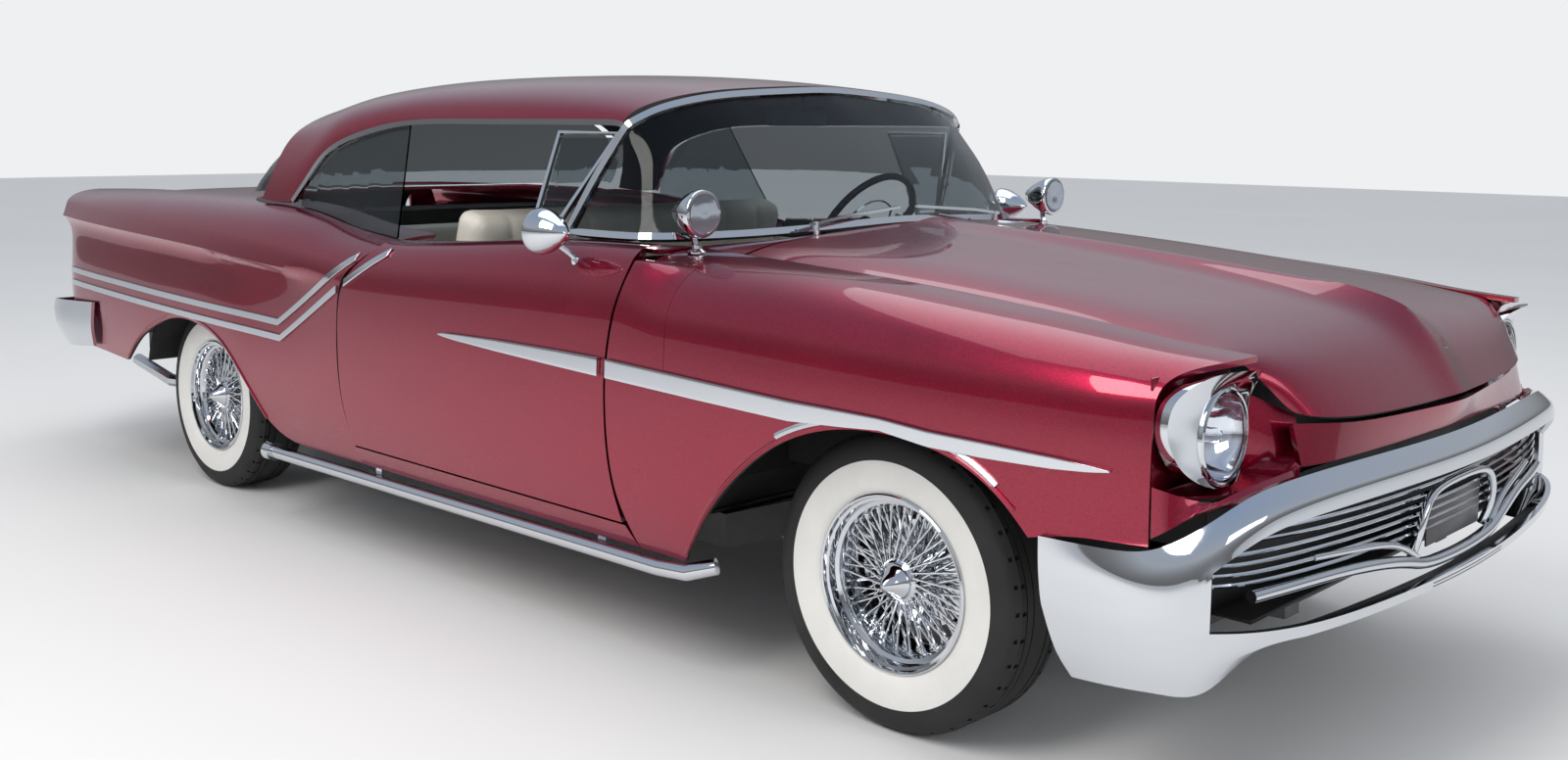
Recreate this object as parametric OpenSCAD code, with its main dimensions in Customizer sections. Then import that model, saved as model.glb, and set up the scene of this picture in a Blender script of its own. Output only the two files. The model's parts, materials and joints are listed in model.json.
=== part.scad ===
// 1950s two-door hardtop coupe: an assembly of separate body panels, running gear and cabin pieces.
// The front is at -Y, the left (driver's) side is at +X, and the ground is at Z = 0.

/* [Overall] */
// Length over the bumpers
overall_length = 5288; // [4400:1:6350]
// Width over the body sides
overall_width = 1940; // [1610:1:2330]
// Height of the roof above the ground
overall_height = 1480; // [1230:1:1780]
// Distance between the axles
wheelbase = 3100; // [2580:1:3720]
// From the front bumper's face to the front axle
front_overhang = 925; // [800:1:1110]

/* [Wheels] */
// Distance between the tyre centres of one axle
track = 1480; // [1340:1:1560]
// Diameter over the tread
tyre_diameter = 662; // [600:1:700]
// Width of the tyre
tyre_width = 200; // [160:1:215]
// Diameter over the rim's lips
rim_diameter = 398; // [340:1:420]
// Diameter of the spindle that carries a wheel
spindle_diameter = 40; // [30:1:50]
// Number of spokes of one wheel
spoke_count = 32; // [16:4:40]
// Diameter of a spoke
spoke_diameter = 6; // [4:1:8]

/* [Panels] */
// Thickness of a pressed body panel with its flange
panel_thickness = 12; // [8:1:16]
// Thickness of the window glass
glass_thickness = 6; // [4:1:8]
// Gap round a panel that opens
panel_gap = 6; // [5:0.5:8]
// Diameter of the tow bores in the frame's end members
tow_bore_diameter = 22; // [16:1:26]
// Clearance between pieces that are fitted together
fit_gap = 0.3; // [0.2:0.1:0.5]
// Running clearance of a pin in its bore
pin_gap = 0.1; // [0.05:0.05:0.2]
// Distance of the doors' inner faces from the middle of the car, at the design width
door_inner_x = 836; // [820:1:845]

/* [Interior] */
// Diameter of the steering wheel
steering_wheel_diameter = 430; // [360:1:460]
// Width of the front seat
seat_width = 1400; // [1150:1:1500]

/* [Hidden] */
$fn = 48;

// Colours
paint = [0.55, 0.03, 0.10];
chrome = [0.82, 0.83, 0.85];
black = [0.05, 0.05, 0.05];
glass_tint = [0.3, 0.35, 0.38, 0.4];
trim_white = [0.85, 0.83, 0.78];

// Main stations, along the length and up
nose_y = -overall_length / 2;
tail_y = overall_length / 2;
front_axle_y = nose_y + front_overhang;
rear_axle_y = front_axle_y + wheelbase;
axle_z = tyre_diameter / 2;

// The body's outline is drawn at the size of the real car, in design millimetres,
// and then stretched to the sizes above.
design = [1940, 5288, 1480];
design_stations = [[-2644, nose_y], [-1719, front_axle_y], [1381, rear_axle_y], [2644, tail_y]];
scale_x = overall_width / design[0];
scale_z = overall_height / design[2];
function at_x(x) = x * scale_x;
function at_y(y) = lookup(y, design_stations);
function at_z(z) = z * scale_z;
function place(p) = [at_x(p[0]), at_y(p[1]), at_z(p[2])];
function placed(rows) = [for (r = rows) [for (p = r) place(p)]];

// ---- Curves and surfaces ----

function lerp(a, b, t) = a + (b - a) * t;
function clamp(x, lo, hi) = min(max(x, lo), hi);
function ease(t) = let (c = clamp(t, 0, 1)) c * c * (3 - 2 * c);

// A smooth curve through [x, y] pairs, level beyond its ends
function span_of(p, x, i = 0) = i >= len(p) - 2 || x < p[i + 1][0] ? i : span_of(p, x, i + 1);
function slope_at(p, i) =
    let (a = max(i - 1, 0), b = min(i + 1, len(p) - 1)) (p[b][1] - p[a][1]) / (p[b][0] - p[a][0]);
function curve(p, at) =
    let (
        x = clamp(at, p[0][0], p[len(p) - 1][0]), i = span_of(p, x),
        h = p[i + 1][0] - p[i][0], t = (x - p[i][0]) / h
    )
    (2 * t ^ 3 - 3 * t ^ 2 + 1) * p[i][1] + (t ^ 3 - 2 * t ^ 2 + t) * h * slope_at(p, i)
    + (3 * t ^ 2 - 2 * t ^ 3) * p[i + 1][1] + (t ^ 3 - t ^ 2) * h * slope_at(p, i + 1);

// The smooth line through a list of points, or of rows of points, with k steps between each two
function through(items, i, t) =
    let (
        n = len(items) - 1, a = items[i], b = items[min(i + 1, n)],
        before = i > 0 ? items[i - 1] : 2 * a - b,
        after = i < n - 1 ? items[i + 2] : 2 * b - a
    )
    0.5 * (2 * a + (b - before) * t + (2 * before - 5 * a + 4 * b - after) * t ^ 2
    + (3 * a - before - 3 * b + after) * t ^ 3);
function refine(items, k) =
    [for (i = [0:k * (len(items) - 1)]) through(items, floor(i / k), (i % k) / k)];
function refine_grid(rows, along, across) = refine([for (r = rows) refine(r, across)], along);

// Mirror image of a point, and a whole row from the left edge to the right edge, from its left half
function flip(p) = [-p[0], p[1], p[2]];
function whole(half) = concat(half, [for (i = [len(half) - 2:-1:0]) flip(half[i])]);

// Unit normals of a grid whose rows run towards +Y and whose columns run up, or from left to right over the top
function unit(v) = v / max(norm(v), 1e-6);
function normal_at(g, i, j) =
    let (r = len(g) - 1, c = len(g[0]) - 1)
    unit(cross(g[min(i + 1, r)][j] - g[max(i - 1, 0)][j], g[i][min(j + 1, c)] - g[i][max(j - 1, 0)]));
function sunk(g, depth) =
    [for (i = [0:len(g) - 1]) [for (j = [0:len(g[0]) - 1]) g[i][j] - normal_at(g, i, j) * depth]];

// A closed shell between an outer and an inner grid; cells that keep() refuses are left open
module shell(outer, inner, keep = function(i, j) true) {
    cols = len(outer[0]);
    inner_start = len(outer) * cols;
    kept = function(i, j) i >= 0 && j >= 0 && i < len(outer) - 1 && j < cols - 1 && keep(i, j);
    quad = function(a, b, c, d) [[a, b, c], [a, c, d]];
    faces = [
        for (i = [0:len(outer) - 2], j = [0:cols - 2]) if (kept(i, j))
        let (
            a = i * cols + j, b = a + 1, d = a + cols, e = d + 1,
            ai = a + inner_start, bi = b + inner_start, di = d + inner_start, ei = e + inner_start
        )
        each concat(
            quad(a, b, e, d), quad(ai, di, ei, bi),
            kept(i - 1, j) ? [] : quad(a, ai, bi, b),
            kept(i + 1, j) ? [] : quad(d, e, ei, di),
            kept(i, j - 1) ? [] : quad(a, d, di, ai),
            kept(i, j + 1) ? [] : quad(b, bi, ei, e)
        )
    ];
    polyhedron([for (g = [outer, inner], r = g) each r], faces, convexity = 8);
}
module panel(rows, thickness = panel_thickness) {
    outer = placed(rows);
    shell(outer, sunk(outer, thickness));
}

// A bar with a flat outline, [side, up] points turning anticlockwise, swept along a line in space;
// outward() gives the outline's up direction at a point
module bar(line, outline, outward = function(p) [0, 0, 1], closed = false) {
    n = len(line);
    m = len(outline);
    last = closed ? n - 1 : n - 2;
    points = [
        for (i = [0:n - 1])
        let (
            next = closed ? line[(i + 1) % n] : line[min(i + 1, n - 1)],
            prev = closed ? line[(i + n - 1) % n] : line[max(i - 1, 0)],
            along = unit(next - prev), side = unit(cross(along, outward(line[i]))), top = cross(side, along)
        )
        each [for (q = outline) line[i] + side * q[0] + top * q[1]]
    ];
    sides = [
        for (i = [0:last], j = [0:m - 1])
        let (a = i * m + j, b = i * m + (j + 1) % m, c = ((i + 1) % n) * m + j, d = ((i + 1) % n) * m + (j + 1) % m)
        each [[a, b, c], [b, d, c]]
    ];
    caps = closed ? [] :
        [for (j = [1:m - 2]) each [[0, j + 1, j], [(n - 1) * m, (n - 1) * m + j, (n - 1) * m + j + 1]]];
    polyhedron(points, concat(sides, caps), convexity = 6);
}
function oblong(w, h) = [[-w / 2, -h / 2], [w / 2, -h / 2], [w / 2, h / 2], [-w / 2, h / 2]];
function oval(w, h, n = 8) = [for (i = [0:n - 1]) [w / 2 * cos(360 * (i + 0.5) / n), h / 2 * sin(360 * (i + 0.5) / n)]];

module both_sides() {
    children();
    mirror([1, 0, 0]) children();
}
module right_side() {
    mirror([1, 0, 0]) children();
}
module block(low, high) {
    translate(low) cube(high - low);
}
module rod(a, b, r) {
    d = b - a;
    translate(a) rotate([0, acos(d[2] / norm(d)), atan2(d[1], d[0])]) cylinder(r = r, h = norm(d));
}
// A block given in design millimetres
module body_block(low, high) {
    block(place(low), place(high));
}

// ---- The body's outline, in design millimetres, left side ----

// Half width at the widest height, and how far the side leans in above and below it
side_widths = [[-2644, 850], [-2400, 906], [-2300, 934], [-2150, 952], [-1900, 964], [-1000, 970], [300, 970],
    [1380, 964], [2000, 948], [2450, 918], [2644, 890]];
side_lean = [[240, 60], [300, 42], [360, 22], [500, 4], [680, 0], [800, 4], [880, 14], [960, 34], [1020, 60]];
function side_x(y, z) = curve(side_widths, y) - curve(side_lean, z);

// Door seams, as the distance along the car at a height
front_seam = [[284, -1011], [340, -973], [493, -939], [660, -929], [720, -929], [860, -950], [955, -976], [1030, -976]];
rear_seam = [[284, 240], [340, 262], [480, 300], [660, 310], [800, 306], [866, 268], [920, 200], [1000, 130]];
sill_z = [284, 340];

// Belt line: the upper inner edge of the door and the quarter
belt_z = [[-1100, 1026], [-1000, 1026], [-600, 1020], [-200, 990], [140, 972], [300, 984], [440, 1010], [620, 1040],
    [840, 1056], [1250, 1058], [1800, 1056], [2300, 1046], [2614, 1030]];
hood_line_x = 703;
hood_line_z = [[-2480, 893], [-2405, 904], [-2255, 926], [-2055, 948], [-1855, 964], [-1655, 980], [-1455, 992],
    [-1255, 1000], [-1040, 1010]];

// Wheel openings, from the axle: [distance along the car, height above the axle]
front_arch = [[-430, 214], [-388, 262], [-322, 315], [-230, 352], [-80, 370], [60, 356], [200, 308],
    [314, 226], [438, 106], [545, -46]];
rear_arch = [[-588, 0], [-496, 98], [-400, 188], [-306, 252], [-158, 292], [0, 300], [130, 270], [260, 222],
    [355, 176], [475, 86]];
function over_arch(arch, from_axle) = (axle_z + curve(arch, from_axle)) / scale_z;

// The roll of a panel's top from the side at low_z over to an inner edge, n steps
function crown(y, inner_x, top_z, low_z, n, square = 2.3) =
    let (w = side_x(y, low_z))
    [for (i = [1:n]) let (a = 90 * i / n)
        [inner_x + (w - inner_x) * cos(a) ^ (2 / square), y, low_z + (top_z - low_z) * sin(a) ^ (2 / square)]];
// Moves a row's points along the car to follow a seam
function along_seam(row, seam, gap) = [for (p = row) [p[0], curve(seam, p[2]) + gap, p[2]]];

// ---- Front fenders ----

fender_ys = [-2380, -2320, -2240, -2149, -2107, -2041, -1949, -1799, -1659, -1519, -1405, -1281, -1174, -1090, -1032];
function fender_bottom(y) =
    y < -2149 ? 566 : y > -1174 ? 284 : over_arch(front_arch, (y + 1719));
function fender_row(y, seam_y = undef) =
    let (
        low = fender_bottom(y), shoulder = 800,
        side = [for (i = [0:5]) let (z = lerp(low, shoulder, i / 5)) [side_x(y, z), y, z]],
        row = concat(side, crown(y, hood_line_x, curve(hood_line_z, y), shoulder, 7, 2.5))
    )
    row;
// The front edge runs forward over the headlight
function peaked(row) = [for (p = row) [p[0], p[1] - 96 * ease((side_x(p[1], 780) - p[0]) / 160), p[2]]];
fender_rows = concat(
    [peaked(fender_row(fender_ys[0]))],
    [for (i = [1:len(fender_ys) - 1]) fender_row(fender_ys[i])],
    [along_seam(fender_row(-976), front_seam, -panel_gap / 2 - 1)]
);
module left_front_fender() {
    color(paint) panel(fender_rows);
}
module right_front_fender() {
    right_side() left_front_fender();
}

// ---- Hood ----

// From the rear edge to the nose: the middle, the raised ridge's foot, and out to the hood line
hood_keys = [
    [[696.5, -1150, 1004], [600, -1160, 1028], [420, -1178, 1046], [200, -1190, 1058], [90, -1193, 1064], [0, -1194, 1076]],
    [[696.5, -1300, 998], [600, -1300, 1022], [420, -1300, 1038], [200, -1300, 1050], [90, -1300, 1056], [0, -1300, 1068]],
    [[696.5, -1655, 979], [600, -1655, 1000], [420, -1655, 1014], [200, -1655, 1024], [90, -1655, 1030], [0, -1655, 1048]],
    [[696.5, -2055, 946], [600, -2055, 964], [420, -2055, 974], [200, -2055, 984], [90, -2055, 990], [0, -2055, 1014]],
    [[696.5, -2330, 914], [600, -2330, 926], [420, -2340, 934], [200, -2350, 942], [90, -2350, 950], [0, -2350, 980]],
    [[682, -2430, 890], [600, -2470, 880], [420, -2492, 878], [200, -2500, 882], [90, -2504, 890], [0, -2508, 924]],
    [[606, -2500, 792], [560, -2536, 782], [420, -2568, 772], [200, -2586, 768], [90, -2592, 768], [0, -2606, 772]]
];
hood_rows = [for (r = refine_grid([for (i = [6:-1:0]) hood_keys[i]], 3, 2)) whole(r)];
module hood() {
    color(paint) panel(hood_rows);
}

// ---- Front panel between the hood, the headlights and the bumper ----

front_panel_keys = [
    [[618, -2530, 694], [560, -2546, 694], [420, -2562, 696], [200, -2578, 698], [0, -2590, 700]],
    [[618, -2510, 773], [560, -2530, 769], [420, -2556, 757], [200, -2580, 753], [0, -2606, 755]]
];
front_corner_keys = [
    [[904, -2380.8, 580], [894, -2420, 606], [856, -2464, 646], [780, -2500, 674], [690, -2518, 686], [618.6, -2530, 694]],
    [[906, -2380.8, 676], [884, -2416, 664], [850, -2450, 652], [780, -2480, 646], [700, -2496, 654], [632, -2524, 704]]
];
module front_panel() {
    color(paint) {
        panel([for (r = refine_grid(front_panel_keys, 2, 2)) whole(r)]);
        both_sides() panel(refine_grid(front_corner_keys, 2, 2));
    }
}

// ---- Rockers ----

module rockers() {
    color(paint) both_sides() {
        rows = [for (y = [-960, -600, 0, 200]) [for (z = [sill_z[0], 312, sill_z[1] - panel_gap / 2]) [side_x(y, z), y, z]]];
        ends = concat([along_seam(rows[0], front_seam, -panel_gap / 2 - 0.4)], [rows[1], rows[2]],
            [along_seam(rows[3], rear_seam, panel_gap - 2.4)]);
        outer = placed(ends);
        inner = [for (r = outer) [for (p = r) [at_x(800), p[1], p[2]]]];
        shell(outer, inner);
    }
}

// ---- Doors ----

door_top_x = 850;
function door_row(y) =
    let (low = sill_z[1] + panel_gap / 2, shoulder = 800)
    concat(
        [for (i = [0:6]) let (z = lerp(low, shoulder, i / 6)) [side_x(y, z), y, z]],
        crown(y, door_top_x, curve(belt_z, y), shoulder, 6, 2.2)
    );
door_rows = concat(
    [along_seam(door_row(-960), front_seam, panel_gap / 2)],
    [for (y = [-850, -600, -350, -100, 80]) door_row(y)],
    [along_seam(door_row(150), rear_seam, -panel_gap / 2)]
);
module left_door() {
    outer = placed(door_rows);
    last = len(outer) - 1;
    inner = [
        for (i = [0:last]) let (lean = i == 0 ? 40 : i == last ? -14 : 0)
        [for (j = [0:len(outer[i]) - 1]) let (p = outer[i][j])
            [at_x(door_inner_x), p[1] + lean, p[2] - (j > 6 ? 6 : 0)]]
    ];
    color(paint) shell(outer, inner);
}
module right_door() {
    right_side() left_door();
}

// ---- Rear quarters ----

quarter_inner_x = 716;
fin_crease = [[260, 866], [576, 855], [900, 866], [1260, 886], [2141, 914], [2614, 930]];
quarter_ys = [420, 560, 680, 793, 885, 981, 1075, 1223, 1381, 1511, 1641, 1736, 1856, 2060, 2250, 2390];
tail_edge = [[432, 2410], [600, 2440], [716, 2452], [860, 2470], [930, 2530], [1000, 2596], [1030, 2606]];
function quarter_bottom(y) =
    y < 793 ? 284 : y > 1856 ? lerp(417, 432, clamp((y - 1856) / 300, 0, 1)) : over_arch(rear_arch, y - 1381);
function quarter_row(y) =
    let (
        low = quarter_bottom(y), crease = curve(fin_crease, y), dip = 16 * ease((y - 330) / 300),
        w = function(z, d) side_x(y, min(z, 820)) - d,
        side = [for (i = [0:4]) let (z = lerp(low, crease - 70, i / 4)) [w(z, dip * (i / 4) ^ 3), y, z]],
        base = [[w(800, dip * 1.2), y, crease - 24], [w(800, 2), y, crease]],
        inner_z = curve(belt_z, y) - 6
    )
    concat(side, base, [for (p = crown(y, quarter_inner_x, inner_z, crease + 14, 7, 2.1)) p]);
quarter_rows = concat(
    [along_seam(quarter_row(310), rear_seam, panel_gap + 0.8)],
    [for (y = quarter_ys) quarter_row(y)],
    [along_seam(quarter_row(2540), tail_edge, 0)]
);
function on_seam(p, seam, gap) = [p[0], at_y(curve(seam, p[2] / scale_z) + gap), p[2]];
module left_rear_quarter() {
    outer = placed(quarter_rows);
    inner = sunk(outer, panel_thickness);
    front = [for (p = inner[0]) on_seam(p, rear_seam, panel_gap + 0.8)];
    color(paint) shell(outer, concat([front], [for (i = [1:len(inner) - 1]) inner[i]]));
}
module right_rear_quarter() {
    right_side() left_rear_quarter();
}

// ---- Roof ----

roof_keys = [
    [[715, -706, 1326], [692, -726, 1358], [600, -746, 1390], [400, -760, 1420], [0, -769, 1440]],
    [[712, -500, 1326], [692, -500, 1370], [600, -500, 1414], [400, -500, 1448], [0, -500, 1464]],
    [[709, -100, 1324], [688, -100, 1378], [600, -100, 1426], [400, -100, 1463], [0, -100, 1480]],
    [[709, 300, 1320], [690, 300, 1372], [602, 300, 1422], [400, 300, 1460], [0, 300, 1478]],
    [[738, 560, 1274], [716, 565, 1342], [612, 570, 1404], [400, 570, 1446], [0, 570, 1466]],
    [[766, 724, 1204], [744, 736, 1292], [640, 750, 1376], [400, 755, 1428], [0, 760, 1452]],
    [[808, 838, 1053.2], [780, 880, 1180], [688, 905, 1320], [410, 905, 1406], [0, 900, 1434]],
    [[808, 1056, 1053.2], [778, 1004, 1180], [692, 985, 1304], [410, 970, 1394], [0, 955, 1422]]
];
roof_rows = [for (r = refine_grid(roof_keys, 2, 2)) whole(r)];
module roof() {
    color(paint) panel(roof_rows);
}

// ---- Tail ----

deck_keys = [
    [[715, 1150, 1044], [640, 1340, 1050], [400, 1436, 1056], [0, 1470, 1060]],
    [[715, 1518, 1044], [640, 1518, 1048], [400, 1518, 1054], [0, 1518, 1058]]
];
module deck_panel() {
    color(paint) panel([for (r = refine_grid(deck_keys, 2, 3)) whole(r)]);
}
trunk_keys = [
    [[706, 1524, 1044], [500, 1524, 1052], [0, 1524, 1058]],
    [[706, 1900, 1040], [500, 1900, 1048], [0, 1900, 1054]],
    [[706, 2260, 1026], [500, 2270, 1032], [0, 2280, 1034]],
    [[700, 2440, 994], [500, 2480, 990], [0, 2500, 988]],
    [[694, 2496, 900], [500, 2546, 890], [0, 2570, 884]],
    [[690, 2500, 730], [500, 2560, 726], [0, 2586, 722]]
];
module trunk_lid() {
    color(paint) panel([for (r = refine_grid(trunk_keys, 2, 3)) whole(r)]);
}
tail_keys = [
    [[886, 2440, 715], [800, 2484, 715], [690, 2500, 715], [500, 2556, 714], [0, 2582, 712]],
    [[884, 2416, 560], [800, 2466, 560], [690, 2484, 560], [500, 2544, 560], [0, 2570, 560]],
    [[874, 2392, 440], [800, 2436, 440], [690, 2456, 440], [500, 2516, 440], [0, 2536, 440]]
];
tail_corner_keys = [
    [[840, 2488, 990], [790, 2490, 996], [718, 2484, 1000]],
    [[866, 2470, 890], [800, 2484, 890], [716, 2480, 890]],
    [[884, 2442, 716], [800, 2484, 716], [712, 2486, 716]]
];
module tail_panel() {
    color(paint) {
        panel([for (r = refine_grid(tail_keys, 1, 2)) whole(r)]);
        both_sides() panel(refine_grid(tail_corner_keys, 2, 2));
    }
}
module tail_lights() {
    color([0.6, 0.02, 0.02]) both_sides()
        translate(place([792, 2490.1, 946])) rotate([-90, 0, 0]) {
            cylinder(r = 46, h = 50);
            translate([0, 0, 49.9]) cylinder(r1 = 42, r2 = 30, h = 14);
        }
}

// ---- Windows ----

shield_base = [[808, -600, 1034], [806, -740, 1034], [752, -900, 1034], [500, -1042, 1044], [0, -1086, 1062]];
shield_top = [[718, -724, 1314], [690, -744, 1336], [600, -762, 1370], [400, -778, 1402], [0, -788, 1424]];
shield_bulge = [[4, 0, 4], [8, -8, 4], [14, -22, 4], [8, -26, 4], [0, -24, 4]];
shield_middle = [for (i = [0:4]) (shield_base[i] + shield_top[i]) / 2 + shield_bulge[i]];
shield_grid = refine_grid([shield_base, shield_middle, shield_top], 3, 3);
shield_rows = len(shield_grid);
shield_frame = [18, 26];
function toward(p, q, d) = p + unit(q - p) * d;
function shield_out(p) = let (a = 90 * (min(abs(p[0]), 820) / 820) ^ 4) [sin(a) * sign(p[0]), -cos(a), 0.35];
// The frame's loop round the glass, larger on each side by the given clearance
module shield_loop(clearance) {
    base = whole(shield_grid[0]);
    head = whole(shield_grid[shield_rows - 1]);
    loop = concat(base, [for (k = [1:shield_rows - 2]) flip(shield_grid[k][0])],
        [for (i = [len(head) - 1:-1:0]) head[i]], [for (k = [shield_rows - 2:-1:1]) shield_grid[k][0]]);
    bar([for (p = loop) place(p)], oblong(shield_frame[0] + 2 * clearance, shield_frame[1] + 2 * clearance),
        function(p) shield_out(p), closed = true);
}
module windshield() {
    color(glass_tint) difference() {
        panel([for (r = shield_grid) whole(r)], glass_thickness);
        shield_loop(fit_gap);
    }
}
rail_rows = 12;
module windshield_frame() {
    rail = concat([toward(shield_top[0], roof_rows[0][0], 4)], [for (i = [0:rail_rows]) roof_rows[i][0]]);
    color(chrome) {
        shield_loop(0);
        both_sides() bar([for (p = rail) place(p)], [[-6, fit_gap], [6, fit_gap], [8, 12], [-8, 12]], function(p) [1, 0, 0]);
    }
}
rear_glass_keys = [
    [[768, 1084, 1079], [744, 1232, 1071], [640, 1352, 1067], [400, 1444, 1065], [0, 1476, 1065]],
    [[770, 1066, 1104], [748, 1144, 1140], [652, 1188, 1204], [400, 1230, 1248], [0, 1244, 1268]],
    [[766, 1044, 1140], [738, 1020, 1200], [650, 1002, 1300], [400, 990, 1376], [0, 976, 1402]]
];
module rear_window() {
    color(glass_tint) panel([for (i = [2:-1:0]) whole(refine(rear_glass_keys[i], 3))], glass_thickness);
}
quarter_glass_keys = [
    [[838, 184, 962], [706, 306, 1314]],
    [[832, 400, 978], [722, 460, 1290]],
    [[818, 620, 1013], [752, 640, 1232]],
    [[806, 800, 1030], [800, 790, 1098]]
];
module quarter_windows() {
    color(glass_tint) both_sides() difference() {
        panel(refine_grid(quarter_glass_keys, 2, 1), glass_thickness);
        translate([0, 0, fit_gap]) left_rear_quarter();
    }
}
vent_corners = [[846, -562, curve(belt_z, -562) + 3], [846, -480, curve(belt_z, -480) + 3], [718, -450, 1296],
    [712, -688, 1296]];
vent_middle = (vent_corners[0] + vent_corners[1] + vent_corners[2] + vent_corners[3]) / 4;
module left_vent_frame() {
    color(chrome) bar([for (p = vent_corners) place(p)], oblong(14, 12),
        function(p) [1, 0, 0.3], closed = true);
}
module right_vent_frame() {
    right_side() left_vent_frame();
}
module left_vent_glass() {
    c = [for (p = vent_corners) toward(p, vent_middle, 16)];
    color(glass_tint) panel([[c[0], c[3]], [c[1], c[2]]], glass_thickness);
}
module right_vent_glass() {
    right_side() left_vent_glass();
}

// ---- Bumpers and grille ----

function round_front(half) = let (n = len(half)) concat([for (i = [0:n - 2]) [for (p = half[i]) flip(p)]],
    [for (i = [n - 1:-1:0]) half[i]]);
function round_back(half) = let (n = len(half)) concat([for (i = [0:n - 1]) half[i]],
    [for (i = [n - 2:-1:0]) [for (p = half[i]) flip(p)]]);
front_bumper_keys = [
    [[928, -2240, 290], [948, -2215, 340], [960, -2195, 410], [963, -2188, 440], [964, -2182, 500], [960, -2178, 556]],
    [[934, -2320, 297], [950, -2316, 350], [960, -2314, 412], [962, -2314, 446], [962, -2310, 505], [954, -2306, 558]],
    [[918, -2410, 302], [936, -2412, 354], [946, -2414, 420], [948, -2414, 460], [943, -2410, 520], [930, -2400, 566]],
    [[880, -2484, 308], [896, -2494, 356], [904, -2502, 432], [903, -2502, 540], [893, -2496, 592], [876, -2480, 622]],
    [[770, -2530, 384], [786, -2550, 396], [790, -2560, 424], [790, -2560, 608], [786, -2552, 646], [776, -2524, 672]],
    [[534, -2564, 388], [534, -2596, 396], [534, -2606, 412], [534, -2608, 626], [534, -2600, 665], [534, -2566, 690]],
    [[0, -2598, 388], [0, -2634, 396], [0, -2644, 412], [0, -2644, 628], [0, -2638, 664], [0, -2604, 690]]
];
module front_bumper() {
    steps = 2;
    outer = placed(refine_grid(round_front(front_bumper_keys), steps, steps));
    color(chrome) shell(outer, sunk(outer, panel_thickness),
        function(i, j) i < 3 * steps || i >= 9 * steps || j < 2 * steps || j >= 3 * steps);
}
rear_bumper_keys = [
    [[954, 2130, 440], [966, 2124, 520], [960, 2124, 612]],
    [[948, 2330, 420], [964, 2340, 500], [956, 2345, 600]],
    [[915, 2470, 410], [950, 2500, 500], [938, 2520, 590]],
    [[840, 2560, 405], [880, 2606, 500], [866, 2606, 584]],
    [[500, 2590, 400], [520, 2640, 500], [520, 2636, 580]],
    [[0, 2596, 400], [0, 2644, 500], [0, 2640, 580]]
];
module rear_bumper() {
    color(chrome) panel(refine_grid(round_back(rear_bumper_keys), 2, 3));
}
grille_line = [[-860, -2488], [-790, -2530], [-534, -2578], [0, -2612], [534, -2578], [790, -2530], [860, -2488]];
module grille() {
    color(chrome) {
        for (z = [516:22:604]) let (inset_x = z > 560 ? 40 : 0)
            bar([for (q = grille_line) place([q[0] - sign(q[0]) * inset_x, q[1], z])], oval(12, 10, 6));
        for (x = [-180, 180]) body_block([x - 8, -2600, 430], [x + 8, -2530, 612]);
        hull() {
            body_block([-800, -2488, 424], [800, -2430, 432]);
            body_block([-500, -2560, 424], [500, -2430, 432]);
        }
        body_block([-800, -2440, 404], [800, -2430, 640]);
        both_sides() hull() {
            body_block([200, -2630, 500], [220, -2450, 520]);
            body_block([560, -2606, 590], [640, -2450, 618]);
            body_block([560, -2606, 486], [640, -2450, 500]);
        }
    }
}

// ---- Lamps ----

lamp_centre = [750, -2434, 756];
lamp_radius = 86;
module headlamps() {
    color(glass_tint) both_sides() translate(place(lamp_centre)) rotate([90, 0, 0]) {
        translate([0, 0, -60]) cylinder(r = lamp_radius, h = 66);
        translate([0, 0, 6]) cylinder(r1 = lamp_radius, r2 = 56, h = 14);
    }
}
// Reach of the bezel's outer edge from the lamp's centre, at 12 angles from outboard upwards: x, y, z
bezel_edge = [[148, 38, 14], [138, 30, 78], [86, -14, 124], [0, -56, 132], [-70, -34, 116], [-100, 0, 66],
    [-106, 8, 8], [-102, 8, -46], [-64, -2, -84], [4, -10, -94], [76, -4, -82], [128, 20, -46]];
module headlight_bezels() {
    edge = refine(concat(bezel_edge, [bezel_edge[0]]), 2);
    n = 24;
    ring = function(r, y) [for (i = [0:n - 1]) let (a = 360 * i / n) [r * cos(a), y, r * sin(a)]];
    outer_front = [for (i = [0:n - 1]) edge[i]];
    rings = [
        ring(lamp_radius + 1, -4), outer_front * 0.55 + ring(lamp_radius + 4, -18) * 0.45,
        [for (q = outer_front) q + [0, -6, 0]], [for (q = outer_front) [q[0] * 0.992, q[1] + 21.2, q[2] * 0.972]],
        ring(lamp_radius + 10, 30), ring(lamp_radius + 1, 30)
    ];
    m = len(rings);
    color(chrome) both_sides() translate(place(lamp_centre)) scale([scale_x, 1, scale_z])
        polyhedron([for (r = rings) each r], [
            for (k = [0:m - 1], i = [0:n - 1])
            let (a = k * n + i, b = k * n + (i + 1) % n, c = ((k + 1) % m) * n + i, d = ((k + 1) % m) * n + (i + 1) % n)
            each [[a, b, c], [b, d, c]]
        ], convexity = 6);
}

// ---- Cowl ----

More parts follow.
